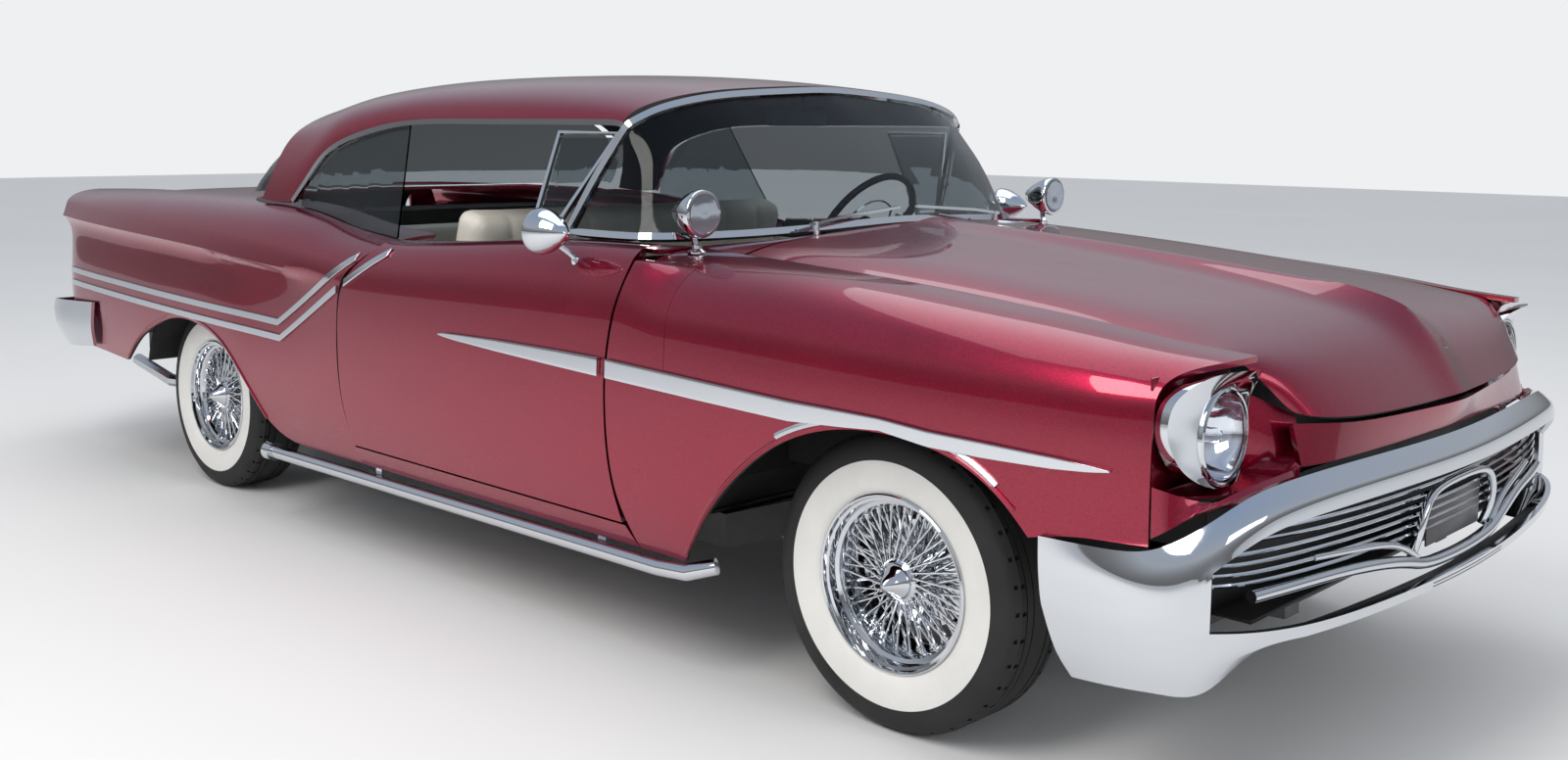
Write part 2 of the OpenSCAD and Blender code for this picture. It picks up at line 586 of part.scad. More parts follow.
cowl_keys = [
    [[702.4, -1140, 1004], [600, -1150, 1028], [420, -1168, 1046], [200, -1180, 1058], [0, -1184, 1068]],
    [[702.4, -982, 1014], [640, -1016, 1020], [500, -1068, 1028], [250, -1104, 1038], [0, -1112, 1044]]
];
cowl_side_keys = [
    [[826, -968, 1012], [703.6, -974, 1014]], [[826, -900, 1014], [772, -930, 1019]],
    [[826, -760, 1018], [790, -765, 1020]], [[826, -606, 1018], [790, -606, 1020]]
];
module cowl() {
    color(paint) {
        panel([for (r = refine_grid(cowl_keys, 2, 2)) whole(r)]);
        both_sides() {
            panel(refine_grid(cowl_side_keys, 1, 1));
            body_block([750, -960, sill_z[1] - panel_gap / 2 + 0.5], [812, -900, 990]);
        }
    }
}

// ---- Frame and floor ----

rail_line = [[410, -2430.3, 380], [410, -1260, 350], [540, -960, 250], [540, 850, 250], [500, 1080, 470],
    [500, 1660, 470], [500, 2000, 410], [500, 2400, 385],
    [500, 2577.6, 385]];
floor_z = 305;
module chassis_frame() {
    color(black) difference() {
        union() {
            both_sides() bar([for (q = rail_line) place(q)], oblong(64, 90));
            for (q = [[-2380, 380, 410], [-900, 250, 540], [0, 250, 540], [800, 250, 540], [2440, 402, 500]])
                body_block([-q[2], q[0] - 35, q[1] - 36], [q[2], q[0] + 35, q[1] + 36]);
            block([-at_x(410), front_axle_y - 60, at_z(310)], [at_x(410), front_axle_y + 60, at_z(372)]);
            both_sides() for (y = [-700, 0, 700]) rod(place([540, y, 260]), place([540, y, floor_z]) - [0, 0, fit_gap], 30);
        }
        for (q = [[0, -2380, 300], [0, 2440, 300]]) translate(place(q)) cylinder(d = tow_bore_diameter, h = at_z(200));
    }
}
module floor_pan() {
    color(black) {
        body_block([-799.6, -960, floor_z], [799.6, 720, floor_z + 9]);
        body_block([-130, -955, 313], [130, 700, 430]);
        body_block([-780, -1060, 420], [780, -1050, 985]);
        hull() {
            body_block([-780, -1052, 420], [780, -1050, 430]);
            body_block([-780, -952, 312], [780, -940, 314]);
        }
        body_block([-600, 712, 305], [600, 722, 560]);
        body_block([-600, 712, 552], [600, 2420, 561]);
        body_block([-600, 1176, 552], [600, 1186, 985]);
        body_block([-690, 1176, 976], [690, 1440, 985]);
        both_sides() {
            body_block([590, 1880, 552], [860, 2380, 561]);
            difference() {
                translate([at_x(596), rear_axle_y, axle_z]) rotate([0, 90, 0]) cylinder(r = tyre_diameter / 2 + 75, h = at_x(300));
                translate([at_x(606), rear_axle_y, axle_z]) rotate([0, 90, 0]) cylinder(r = tyre_diameter / 2 + 65, h = at_x(300));
                block([0, rear_axle_y - 600, -100], [1200, rear_axle_y + 600, at_z(420)]);
            }
        }
    }
}
apron_x = at_x(442.4) + 10 + fit_gap;
module inner_fenders() {
    color(black) both_sides() {
        block(place([0, -2360, 444]) + [apron_x, 0, 0], place([0, -1080, 880]) + [apron_x + 8, 0, 0]);
        block(place([0, -2360, 872]) + [apron_x, 0, 0], place([740, -1190, 880]));
    }
}

// ---- Cabin ----

wheel_centre = place([370, -640, 985]);
column_tilt = 30;
module along_column() {
    translate(wheel_centre) rotate([column_tilt - 90, 0, 0]) children();
}
module dashboard() {
    color(black) difference() {
        translate([-at_x(740), 0, 0]) rotate([90, 0, 90]) linear_extrude(at_x(1480)) polygon([
            for (q = [[-1049.4, 985], [-860, 985], [-790, 968], [-750, 930], [-744, 880], [-790, 820], [-1049.4, 820]])
            [at_y(q[0]), at_z(q[1])]
        ]);
        along_column() translate([0, 0, -600]) cylinder(r = 36.3, h = 600);
    }
}
module steering_column() {
    color(black) along_column() {
        translate([0, 0, -400]) cylinder(r = 36, h = 380);
        translate([0, 0, -20.1]) cylinder(r = 12, h = 40);
    }
}
module steering_wheel() {
    r = steering_wheel_diameter / 2;
    color(black) along_column() difference() {
        union() {
            rotate_extrude() translate([r - 11, 4]) circle(11, $fn = 24);
            translate([0, 0, -14]) cylinder(r = 44, h = 40);
            for (a = [0, 180]) rotate([0, 0, a]) translate([20, -9, -4]) cube([r - 34, 18, 10]);
        }
        translate([0, 0, -30]) cylinder(r = 12 + pin_gap, h = 50.5);
    }
}
// A cushion with rounded long edges, from corner to corner
module cushion(low, high, r) {
    hull() for (y = [low[1] + r, high[1] - r], z = [low[2] + r, high[2] - r])
        translate([low[0], y, z]) rotate([0, 90, 0]) cylinder(r = r, h = high[0] - low[0], $fn = 20);
}
module front_seat() {
    w = seat_width / 2;
    color(trim_white) {
        cushion([-w, at_y(-420), at_z(430) + 0.4], [w, at_y(150), at_z(560)], 55);
        translate([0, at_y(150) - 12.6, at_z(472)]) rotate([-16, 0, 0])
            cushion([-w, 0, 0], [w, 150, at_z(600)], 55);
    }
}
module rear_seat() {
    color(trim_white) {
        cushion([-at_x(590), at_y(640), at_z(561) + 0.4], [at_x(590), at_y(1040), at_z(680)], 40);
        cushion([-at_x(590), at_y(1040) + 1, at_z(561) + 0.4], [at_x(590), at_y(1170), at_z(960)], 50);
    }
}

// ---- Running gear ----

module engine_block() {
    color(black) body_block([-250, -2120, 372.5], [250, -1260, 870]);
}
kingpin_x = track / 2 - 100;
module front_left_corner() {
    translate([kingpin_x, front_axle_y, axle_z]) children();
}
module front_suspension() {
    color(black) both_sides() front_left_corner() for (z = [-112, 84]) difference() {
        union() {
            translate([0, 0, z]) cylinder(r = 26, h = 28);
            hull() {
                translate([-30, -18, z + 4]) cube([16, 36, 20]);
                translate([at_x(446) - kingpin_x, -70, z + 4]) cube([10, 140, 20]);
            }
        }
        translate([0, 0, z - 1]) cylinder(r = 12 + pin_gap, h = 30);
    }
    color(black) both_sides() front_left_corner()
        translate([at_x(442.4) - kingpin_x, -80, -116]) cube([10, 160, 232]);
}
module left_knuckle() {
    color(black) front_left_corner() {
        translate([0, 0, -112]) cylinder(r = 12, h = 224);
        translate([0, 0, -76]) cylinder(r = 24, h = 152);
        rotate([0, 90, 0]) cylinder(d = spindle_diameter, h = 170);
    }
}
module right_knuckle() {
    right_side() left_knuckle();
}
module rear_suspension() {
    color(black) {
        translate([-track / 2 + 78, rear_axle_y, axle_z]) rotate([0, 90, 0]) cylinder(r = 38, h = track - 156);
        translate([-track / 2 - 70, rear_axle_y, axle_z]) rotate([0, 90, 0]) cylinder(d = spindle_diameter, h = track + 140);
        translate([-90, rear_axle_y, axle_z]) rotate([0, 90, 0]) cylinder(r = 130, h = 180);
        both_sides() {
            body_block([470, 1090, 268], [530, 1840, 290]);
            block([at_x(474), rear_axle_y - 40, at_z(288)], [at_x(526), rear_axle_y + 40, axle_z]);
            body_block([480, 1100, 270], [520, 1140, 424.6]);
            body_block([480, 1790, 270], [520, 1830, 393.6]);
        }
    }
}
module fuel_tank() {
    color(black) body_block([-467.4, 2010, 300], [467.4, 2360, 480]);
}
pipe_line = [[300, -1230, 340], [300, -1080, 190.4], [300, 1900, 190.4], [590, 2250, 250], [590, 2560, 300]];
module exhaust() {
    color(chrome) both_sides() {
        bar([for (q = pipe_line) place(q)], oval(50, 50, 8));
        translate(place([300, 100, 190.4])) rotate([-90, 0, 0]) cylinder(r = 62, h = 500);
    }
}
side_pipe_line = [[892, -1250, 282], [930, -1190, 262], [936, -1100, 256], [936, 700, 242], [936, 794, 241]];
module lake_pipes() {
    color(chrome) both_sides() {
        bar([for (q = side_pipe_line) place(q)], oval(42, 42, 10));
        for (y = [-880, 150]) body_block([914, y, 256], [920, y + 30, sill_z[0] - 0.4]);
        translate(place([936, 760, 241])) rotate([-90, 0, 0]) cylinder(r = 30, h = 40);
    }
}

// ---- Wheels: drawn round Z, with the outer side up, and the tyre's middle at 0 ----

rim_r = rim_diameter / 2;
tyre_r = tyre_diameter / 2;
tyre_half = tyre_width / 2;
module tyre() {
    color(black) rotate_extrude($fn = 72) polygon([
        [rim_r - 7, -80], [rim_r + 2, -80], [rim_r + 9, -90], [tyre_r - 68, -tyre_half], [tyre_r - 18, -tyre_half + 8],
        [tyre_r, -tyre_half + 30], [tyre_r, tyre_half - 30], [tyre_r - 18, tyre_half - 8], [tyre_r - 68, tyre_half],
        [rim_r + 9, 90], [rim_r + 2, 80], [rim_r - 7, 80]
    ]);
}
module wheel() {
    color(chrome) difference() {
        union() {
            rotate_extrude($fn = 72) polygon([
                [rim_r - 20, -92], [rim_r, -92], [rim_r, -80 - fit_gap], [rim_r - 7 - fit_gap, -80 - fit_gap],
                [rim_r - 7 - fit_gap, 80 + fit_gap], [rim_r, 80 + fit_gap], [rim_r, 92], [rim_r - 20, 92],
                [rim_r - 30, 40], [rim_r - 30, -40]
            ]);
            translate([0, 0, -50]) cylinder(r = 50, h = 120);
            translate([0, 0, 69]) cylinder(r1 = 44, r2 = 14, h = 46);
            translate([0, 0, -60]) cylinder(r = 130, h = 30);
            for (i = [0:spoke_count - 1]) rotate([0, 0, 360 * i / spoke_count])
                rod([44, 0, i % 2 == 0 ? 58 : -8], [rim_r - 26, 0, i % 2 == 0 ? 20 : 10], spoke_diameter / 2);
        }
        translate([0, 0, -70]) cylinder(d = spindle_diameter + 2 * pin_gap, h = 70 + 76);
    }
}
module at_front_wheel() {
    translate([track / 2, front_axle_y, axle_z]) rotate([0, 90, 0]) children();
}
module at_rear_wheel() {
    translate([track / 2, rear_axle_y, axle_z]) rotate([0, 90, 0]) children();
}
module front_left_tyre() { at_front_wheel() tyre(); }
module front_left_wheel() { at_front_wheel() wheel(); }
module front_right_tyre() { right_side() at_front_wheel() tyre(); }
module front_right_wheel() { right_side() at_front_wheel() wheel(); }
module rear_left_tyre() { at_rear_wheel() tyre(); }
module rear_left_wheel() { at_rear_wheel() wheel(); }
module rear_right_tyre() { right_side() at_rear_wheel() tyre(); }
module rear_right_wheel() { right_side() at_rear_wheel() wheel(); }

// ---- Mirrors, spotlights and wipers ----

module bullet(r, length) {
    rotate([90, 0, 0]) rotate_extrude() polygon([
        [0, 0], [r * 0.92, 0], [r, 8], [r * 0.9, length * 0.4], [r * 0.55, length * 0.75], [0, length]
    ]);
}
module left_mirror() {
    color(chrome) {
        translate(place([1000, -716, 1052])) bullet(60, 110);
        difference() {
            rod(place([906, -767, 966]), place([992, -746, 1040]), 9);
            translate([0, 0, fit_gap]) left_door();
        }
    }
}
module right_mirror() {
    right_side() left_mirror();
}
module spotlights() {
    color(chrome) both_sides() {
        translate(place([775, -1078, 1104])) rotate([0, 0, 180]) bullet(60, 110);
        difference() {
            rod(place([768, -1046, 999]), place([775, -1034, 1062]), 9);
            translate([0, 0, fit_gap]) left_front_fender();
        }
    }
}
module wipers() {
    arm = [for (q = [[420, -1112, 1066], [300, -1112, 1080], [40, -1100, 1098]]) place(q)];
    color(chrome) {
        both_sides() bar(arm, oblong(10, 8));
        difference() {
            both_sides() translate(place([400, -1112, 1031])) cylinder(r = 9, h = 42);
            translate([0, 0, fit_gap]) cowl();
        }
    }
}

chassis_frame();
floor_pan();
inner_fenders();
cowl();
rockers();
front_panel();
left_front_fender();
right_front_fender();
left_rear_quarter();
right_rear_quarter();
roof();
deck_panel();
tail_panel();
windshield_frame();
windshield();
rear_window();
quarter_windows();
front_bumper();
grille();
rear_bumper();
headlight_bezels();
headlamps();
tail_lights();
lake_pipes();
spotlights();
wipers();
dashboard();
steering_column();
steering_wheel();
front_seat();
rear_seat();
engine_block();
front_suspension();
rear_suspension();
fuel_tank();
exhaust();
hood();
trunk_lid();
left_door();
right_door();
left_vent_frame();
right_vent_frame();
left_vent_glass();
right_vent_glass();
left_mirror();
right_mirror();
left_knuckle();
right_knuckle();
front_left_tyre();
front_left_wheel();
front_right_tyre();
front_right_wheel();
rear_left_tyre();
rear_left_wheel();
rear_right_tyre();
rear_right_wheel();
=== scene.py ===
import json
from math import atan2, cos, degrees, pi, radians, sin

import bmesh
import bpy
from bpy.props import FloatProperty, FloatVectorProperty, IntProperty, PointerProperty
from mathutils import Matrix, Vector

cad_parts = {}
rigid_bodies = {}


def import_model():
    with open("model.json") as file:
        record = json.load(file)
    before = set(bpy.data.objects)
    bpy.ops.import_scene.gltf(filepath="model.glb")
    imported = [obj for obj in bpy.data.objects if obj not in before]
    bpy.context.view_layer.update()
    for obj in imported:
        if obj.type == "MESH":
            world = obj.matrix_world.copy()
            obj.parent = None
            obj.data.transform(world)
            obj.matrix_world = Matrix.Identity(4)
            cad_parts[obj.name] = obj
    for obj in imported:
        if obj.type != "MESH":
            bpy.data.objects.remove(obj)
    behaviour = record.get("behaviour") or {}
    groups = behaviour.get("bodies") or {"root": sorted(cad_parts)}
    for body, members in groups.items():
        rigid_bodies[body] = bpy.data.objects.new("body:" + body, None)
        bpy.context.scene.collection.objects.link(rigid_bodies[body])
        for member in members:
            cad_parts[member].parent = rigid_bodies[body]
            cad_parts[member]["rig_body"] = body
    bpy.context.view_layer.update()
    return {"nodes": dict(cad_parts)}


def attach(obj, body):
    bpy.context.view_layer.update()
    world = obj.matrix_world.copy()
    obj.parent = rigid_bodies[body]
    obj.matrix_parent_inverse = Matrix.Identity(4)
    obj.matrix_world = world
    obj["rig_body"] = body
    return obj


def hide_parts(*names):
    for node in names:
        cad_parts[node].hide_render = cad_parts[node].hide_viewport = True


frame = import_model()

bl_info = {
    "name": "Hardtop Coupe",
    "version": (1, 0, 0),
    "blender": (4, 5, 0),
    "location": "View3D > Sidebar > Coupe",
    "description": "Paint, chrome, wheels, trim and cabin of a 1950s two-door hardtop",
    "category": "Object",
}

LEFT, RIGHT = 1, -1
SIDES = ((LEFT, "left"), (RIGHT, "right"))
FRONT_AXLE_Y = -1.719
REAR_AXLE_Y = 1.381
AXLE_Z = 0.331
TRACK_HALF = 0.74
BESIDE_CAR_X = 1.05
DOOR_INSIDE_X = 0.834
NEAR_AXIS = 0.0005
MERGE = 2e-5
SHOULDER_MIDDLE = (0.62, 0.8)
HEADLAMP = (0.75, -2.434, 0.756)
BULLET_RADIUS = 0.0598
PAD_VOXEL = 0.012
PAD_SWELL = 0.012
PAD_FRAMES = 20
CHANNEL_DEPTH = 0.007
MATERIALS = {}
SKINS = {}


# ---- Settings ----


class CoupeFinish(bpy.types.PropertyGroup):
    paint: FloatVectorProperty(
        name="Paint", description="Colour of the body", subtype="COLOR", size=4,
        min=0, max=1, default=(0.43, 0.008, 0.05, 1))
    paint_deep: FloatVectorProperty(
        name="Deep paint", description="Colour between the flakes", subtype="COLOR", size=4,
        min=0, max=1, default=(0.22, 0.002, 0.018, 1))
    chrome: FloatVectorProperty(
        name="Chrome", description="Colour of the bright plating", subtype="COLOR", size=4,
        min=0, max=1, default=(0.68, 0.7, 0.73, 1))
    vinyl: FloatVectorProperty(
        name="Vinyl", description="Colour of the seats and door cards", subtype="COLOR", size=4,
        min=0, max=1, default=(0.8, 0.76, 0.68, 1))
    flake_size: FloatProperty(
        name="Flake size", description="Size of the flakes in the paint",
        default=0.0016, unit="LENGTH", min=0.0005, max=0.01)


class CoupeWheels(bpy.types.PropertyGroup):
    spokes: IntProperty(
        name="Spokes", description="Spokes in each of the four rows of a wheel",
        default=26, min=12, max=40)
    spoke_radius: FloatProperty(
        name="Spoke radius", description="Radius of one spoke",
        default=0.0024, unit="LENGTH", min=0.001, max=0.005)
    white_inner: FloatProperty(
        name="Whitewall inner radius", description="Where the white band begins",
        default=0.194, unit="LENGTH", min=0.192, max=0.24)
    white_outer: FloatProperty(
        name="Whitewall outer radius", description="Where the white band ends",
        default=0.268, unit="LENGTH", min=0.24, max=0.3)


class CoupeTrim(bpy.types.PropertyGroup):
    strip_width: FloatProperty(
        name="Strip width", description="Width of the bright strips on the quarters",
        default=0.021, unit="LENGTH", min=0.01, max=0.04)
    strip_height: FloatProperty(
        name="Strip height", description="How far a strip stands off the panel",
        default=0.007, unit="LENGTH", min=0.003, max=0.012)


class CoupeStage(bpy.types.PropertyGroup):
    lens: FloatProperty(
        name="Lens", description="Focal length of the camera in millimetres",
        default=34.85, min=15, max=200)
    floor_tone: FloatProperty(
        name="Floor tone", description="Brightness of the floor", default=0.8, min=0, max=1)
    world_level: FloatProperty(
        name="World level", description="Strength of the sky that gloss reflects",
        default=0.55, min=0, max=2)
    fill_level: FloatProperty(
        name="Fill level", description="Strength of the light from all round",
        default=0.8, min=0, max=2)


# ---- Working on meshes ----


def to_object_mode():
    if bpy.context.object and bpy.context.object.mode != "OBJECT":
        bpy.ops.object.mode_set(mode="OBJECT")


def deselect():
    to_object_mode()
    for obj in bpy.context.view_layer.objects:
        obj.select_set(False)


def only(obj):
    deselect()
    bpy.context.view_layer.objects.active = obj
    obj.select_set(True)


def edit(obj):
    """Opens obj in edit mode with all of it selected."""
    only(obj)
    bpy.ops.object.mode_set(mode="EDIT")
    bpy.ops.mesh.select_mode(type="VERT")
    bpy.ops.mesh.select_all(action="SELECT")


def pick_faces(obj, test):
    """Selects the faces of obj, in edit mode, that test() accepts."""
    bpy.ops.mesh.select_mode(type="FACE")
    bpy.ops.mesh.select_all(action="DESELECT")
    mesh = bmesh.from_edit_mesh(obj.data)
    for face in mesh.faces:
        if test(face):
            face.select_set(True)
    mesh.select_flush_mode()
    bmesh.update_edit_mesh(obj.data)


def pull(x, y, z):
    """Extrudes what is selected by a step."""
    bpy.ops.mesh.extrude_region_move(TRANSFORM_OT_translate={"value": (x, y, z)})


def settle(obj):
    """Puts an object's place, turn and size into its mesh."""
    only(obj)
    bpy.ops.object.transform_apply(location=True, rotation=True, scale=True)
    return obj


def apply_all(obj):
    only(obj)
    for modifier in list(obj.modifiers):
        bpy.ops.object.modifier_apply(modifier=modifier.name)


def add_modifier(obj, kind, **values):
    modifier = obj.modifiers.new(kind.title(), kind)
    for name, value in values.items():
        setattr(modifier, name, value)


def subdivided(obj, levels):
    """Softens obj with a subdivision surface."""
    add_modifier(obj, "SUBSURF", levels=levels, render_levels=levels)
    apply_all(obj)


def thicken(obj, thickness, offset):
    """Gives a sheet its thickness."""
    add_modifier(obj, "SOLIDIFY", thickness=thickness, offset=offset)
    apply_all(obj)


def smooth(obj, angle):
    only(obj)
    bpy.ops.object.shade_smooth_by_angle(angle=radians(angle))


def outward(obj):
    edit(obj)
    bpy.ops.mesh.remove_doubles(threshold=MERGE / 2)
    bpy.ops.mesh.normals_make_consistent(inside=False)
    to_object_mode()


def face_left(obj):
    """Turns a sheet's faces to the car's left."""
    if sum(face.normal.x for face in obj.data.polygons) < 0:
        edit(obj)
        bpy.ops.mesh.flip_normals()
        to_object_mode()


def finish_piece(obj, name, body, material, replaces=()):
    """Puts a piece's place into its mesh, names it and lets it ride on its body."""
    settle(obj)
    obj.name = name
    obj.data.name = name
    if material:
        obj.data.materials.clear()
        obj.data.materials.append(MATERIALS[material])
    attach(obj, body)
    if replaces:
        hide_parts(*replaces)


def plated(obj, name, body="body", replaces=()):
    """Finishes a bright piece."""
    finish_piece(obj, name, body, "chrome_plate", replaces)


def twin(obj, name):
    """A copy of obj with its own mesh, riding on nothing yet."""
    copy = obj.copy()
    copy.data = obj.data.copy()
    copy.name = name
    for key in list(copy.keys()):
        del copy[key]
    copy.parent = None
    copy.matrix_world = Matrix.Identity(4)
    bpy.context.scene.collection.objects.link(copy)
    return copy


def pair(obj, name, body, material, replaces=(), far_replaces=()):
    """Finishes a left-hand piece and its mirror image on the right."""
    finish_piece(obj, "left_" + name, body, material, replaces)
    copy = twin(obj, "right_" + name)
    copy.scale = (-1, 1, 1)
    outward(settle(copy))
    finish_piece(copy, "right_" + name, body.replace("left", "right"), None, far_replaces)


def join(parts):
    """Joins the parts into the first one."""
    deselect()
    for part in parts:
        part.select_set(True)
    bpy.context.view_layer.objects.active = parts[0]
    bpy.ops.object.join()
    return parts[0]


def chain(points):
    """A line of edges through the points, extruded from one vertex."""
    deselect()
    bpy.ops.mesh.primitive_plane_add(size=0.01, location=(0, 0, 0))
    obj = bpy.context.object
    edit(obj)
    bpy.ops.mesh.merge(type="CENTER")
    bpy.ops.transform.translate(value=points[0])
    for a, b in zip(points, points[1:]):
        pull(*(Vector(b) - Vector(a)))
    to_object_mode()
    return obj


def spun(profile, steps):
    """A closed ring turned about the X axis from (x, radius) points."""
    points = [(x, 0, r) for x, r in profile]
    obj = chain(points + points[:1])
    edit(obj)
    bpy.ops.mesh.spin(steps=steps, angle=2 * pi, center=(0, 0, 0), axis=(1, 0, 0))
    bpy.ops.mesh.select_all(action="SELECT")
    bpy.ops.mesh.remove_doubles(threshold=MERGE)
    bpy.ops.mesh.normals_make_consistent(inside=False)
    to_object_mode()
    return obj


def cable(points, radius, sides=8, rounds=1):
    """A round bar along the points, softened rounds times."""
    obj = chain(points)
    if rounds:
        subdivided(obj, rounds)
    only(obj)
    bpy.ops.object.convert(target="CURVE")
    obj = bpy.context.object
    obj.data.bevel_depth = radius
    obj.data.bevel_resolution = max(0, sides // 4 - 1)
    obj.data.use_fill_caps = True
    bpy.ops.object.convert(target="MESH")
    obj = bpy.context.object
    outward(obj)
    smooth(obj, 50)
    return obj


def block(corner, opposite, bevel, segments=2):
    """A box between two corners, with its edges rounded."""
    deselect()
    low = Vector(tuple(map(min, corner, opposite)))
    high = Vector(tuple(map(max, corner, opposite)))
    bpy.ops.mesh.primitive_cube_add(size=1, location=(low + high) / 2)
    obj = bpy.context.object
    obj.scale = high - low
    settle(obj)
    add_modifier(obj, "BEVEL", width=bevel, segments=segments)
    apply_all(obj)
    smooth(obj, 40)
    return obj


def aim(obj, start, direction):
    """Turns obj from one direction to another."""
    obj.rotation_mode = "QUATERNION"
    obj.rotation_quaternion = Vector(start).rotation_difference(Vector(direction))


def lathe(profile, origin, direction, steps=40):
    """A turned piece: (along, radius) points round a line from origin."""
    obj = spun(profile, steps)
    aim(obj, (1, 0, 0), direction)
    obj.location = origin
    smooth(settle(obj), 40)
    return obj


def landed(panel, starts, direction, lift=(0, 0, 0)):
    """The points, lifted a little, where rays from the starts meet a panel."""
    rays = [panel.ray_cast(Vector(start), Vector(direction)) for start in starts]
    return [at + Vector(lift) for found, at, _, _ in rays if found]


def both_ways(half):
    """A line from the right-hand side to the middle, carried on to the left."""
    return half + [(-x, *rest) for x, *rest in reversed(half[:-1])]


# ---- Finishes ----


def new_group(name, inputs, outputs):
    """A node group with number inputs, and outputs of the kinds given."""
    tree = bpy.data.node_groups.new(name, "ShaderNodeTree")
    for label, value in inputs.items():
        socket = tree.interface.new_socket(name=label, in_out="INPUT", socket_type="NodeSocketFloat")
        socket.default_value = value
    for label, kind in outputs.items():
        tree.interface.new_socket(name=label, in_out="OUTPUT", socket_type="NodeSocket" + kind)
    where = tree.nodes.new("ShaderNodeTexCoord").outputs["Object"]
    given = tree.nodes.new("NodeGroupInput").outputs
    return tree, where, given, tree.nodes.new("NodeGroupOutput").inputs


def place(tree, kind, links=(), **values):
    """Adds a node: links feed or set its inputs, and values are set on the node itself."""
    node = tree.nodes.new(kind)
    for name, value in values.items():
        setattr(node, name, value)
    for name, source in links:
        if hasattr(source, "is_linked"):
            tree.links.new(source, node.inputs[name])
        else:
            node.inputs[name].default_value = source
    return node


def patch_group():
    """Soft patches: a value that drifts between Low and High over the surface."""
    tree, where, given, out = new_group(
        "soft_patches", {"Scale": 3.0, "Low": 0.0, "High": 1.0}, {"Value": "Float"})
    noise = place(tree, "ShaderNodeTexNoise", [
        ("Vector", where), ("Scale", given["Scale"]), ("Detail", 5.0), ("Roughness", 0.6)])
    spread = place(tree, "ShaderNodeMapRange", [
        ("Value", noise.outputs[0]), ("From Min", 0.3), ("From Max", 0.7),
        ("To Min", given["Low"]), ("To Max", given["High"])])
    tree.links.new(spread.outputs[0], out["Value"])


def flake_group():
    """Fine cells, each with its own brightness, as metal flakes in paint."""
    tree, where, given, out = new_group(
        "metal_flakes", {"Scale": 600.0, "Contrast": 1.0}, {"Mask": "Float", "Normal": "Vector"})
    cells = place(tree, "ShaderNodeTexVoronoi", [("Vector", where), ("Scale", given["Scale"])])
    grey = place(tree, "ShaderNodeRGBToBW", [("Color", cells.outputs["Color"])])
    level = place(tree, "ShaderNodeMath", [(0, grey.outputs[0]), (1, given["Contrast"])],
                  operation="MULTIPLY")
    bump = place(tree, "ShaderNodeBump", [
        ("Height", grey.outputs[0]), ("Strength", 0.025), ("Distance", 0.0006)])
    tree.links.new(level.outputs[0], out["Mask"])
    tree.links.new(bump.outputs[0], out["Normal"])
    return tree


def grain_group():
    """Pebbled grain of vinyl and moulded plastic."""
    tree, where, given, out = new_group(
        "pebble_grain", {"Scale": 300.0, "Depth": 0.3}, {"Normal": "Vector", "Mask": "Float"})
    cells = place(tree, "ShaderNodeTexVoronoi", [("Vector", where), ("Scale", given["Scale"])],
                  feature="SMOOTH_F1")
    fine = place(tree, "ShaderNodeTexNoise", [
        ("Vector", where), ("Scale", given["Scale"]), ("Detail", 3.0)])
    height = place(tree, "ShaderNodeMath", [(0, cells.outputs["Distance"]), (1, fine.outputs[0])],
                   operation="ADD")
    bump = place(tree, "ShaderNodeBump", [
        ("Height", height.outputs[0]), ("Strength", given["Depth"]), ("Distance", 0.001)])
    tree.links.new(bump.outputs[0], out["Normal"])
    tree.links.new(cells.outputs["Distance"], out["Mask"])
    return tree


def shader(name, **values):
    """A new material; returns its tree and its shader."""
    material = bpy.data.materials.new(name)
    material.use_nodes = True
    principled = material.node_tree.nodes["Principled BSDF"]
    for label, value in values.items():
        principled.inputs[label.replace("_", " ")].default_value = value
    MATERIALS[name] = material
    return material.node_tree, principled


def use_group(tree, group, **values):
    return place(tree, "ShaderNodeGroup", node_tree=group, links=values.items())


def blend_colours(tree, factor, low, high):
    mix = place(tree, "ShaderNodeMix", [("Factor", factor), ("A", low), ("B", high)],
                data_type="RGBA")
    return mix.outputs["Result"]


def worn(tree, principled, low, high, scale=4.0):
    """Lets the roughness drift between two values."""
    node = use_group(tree, bpy.data.node_groups["soft_patches"], Scale=scale, Low=low, High=high)
    tree.links.new(node.outputs["Value"], principled.inputs["Roughness"])


def tinted(tree, principled, low, high, scale=4.0):
    """Lets the colour drift between two colours."""
    node = use_group(tree, bpy.data.node_groups["soft_patches"], Scale=scale, Low=0.0, High=1.0)
    tree.links.new(blend_colours(tree, node.outputs["Value"], low, high),
                   principled.inputs["Base Color"])


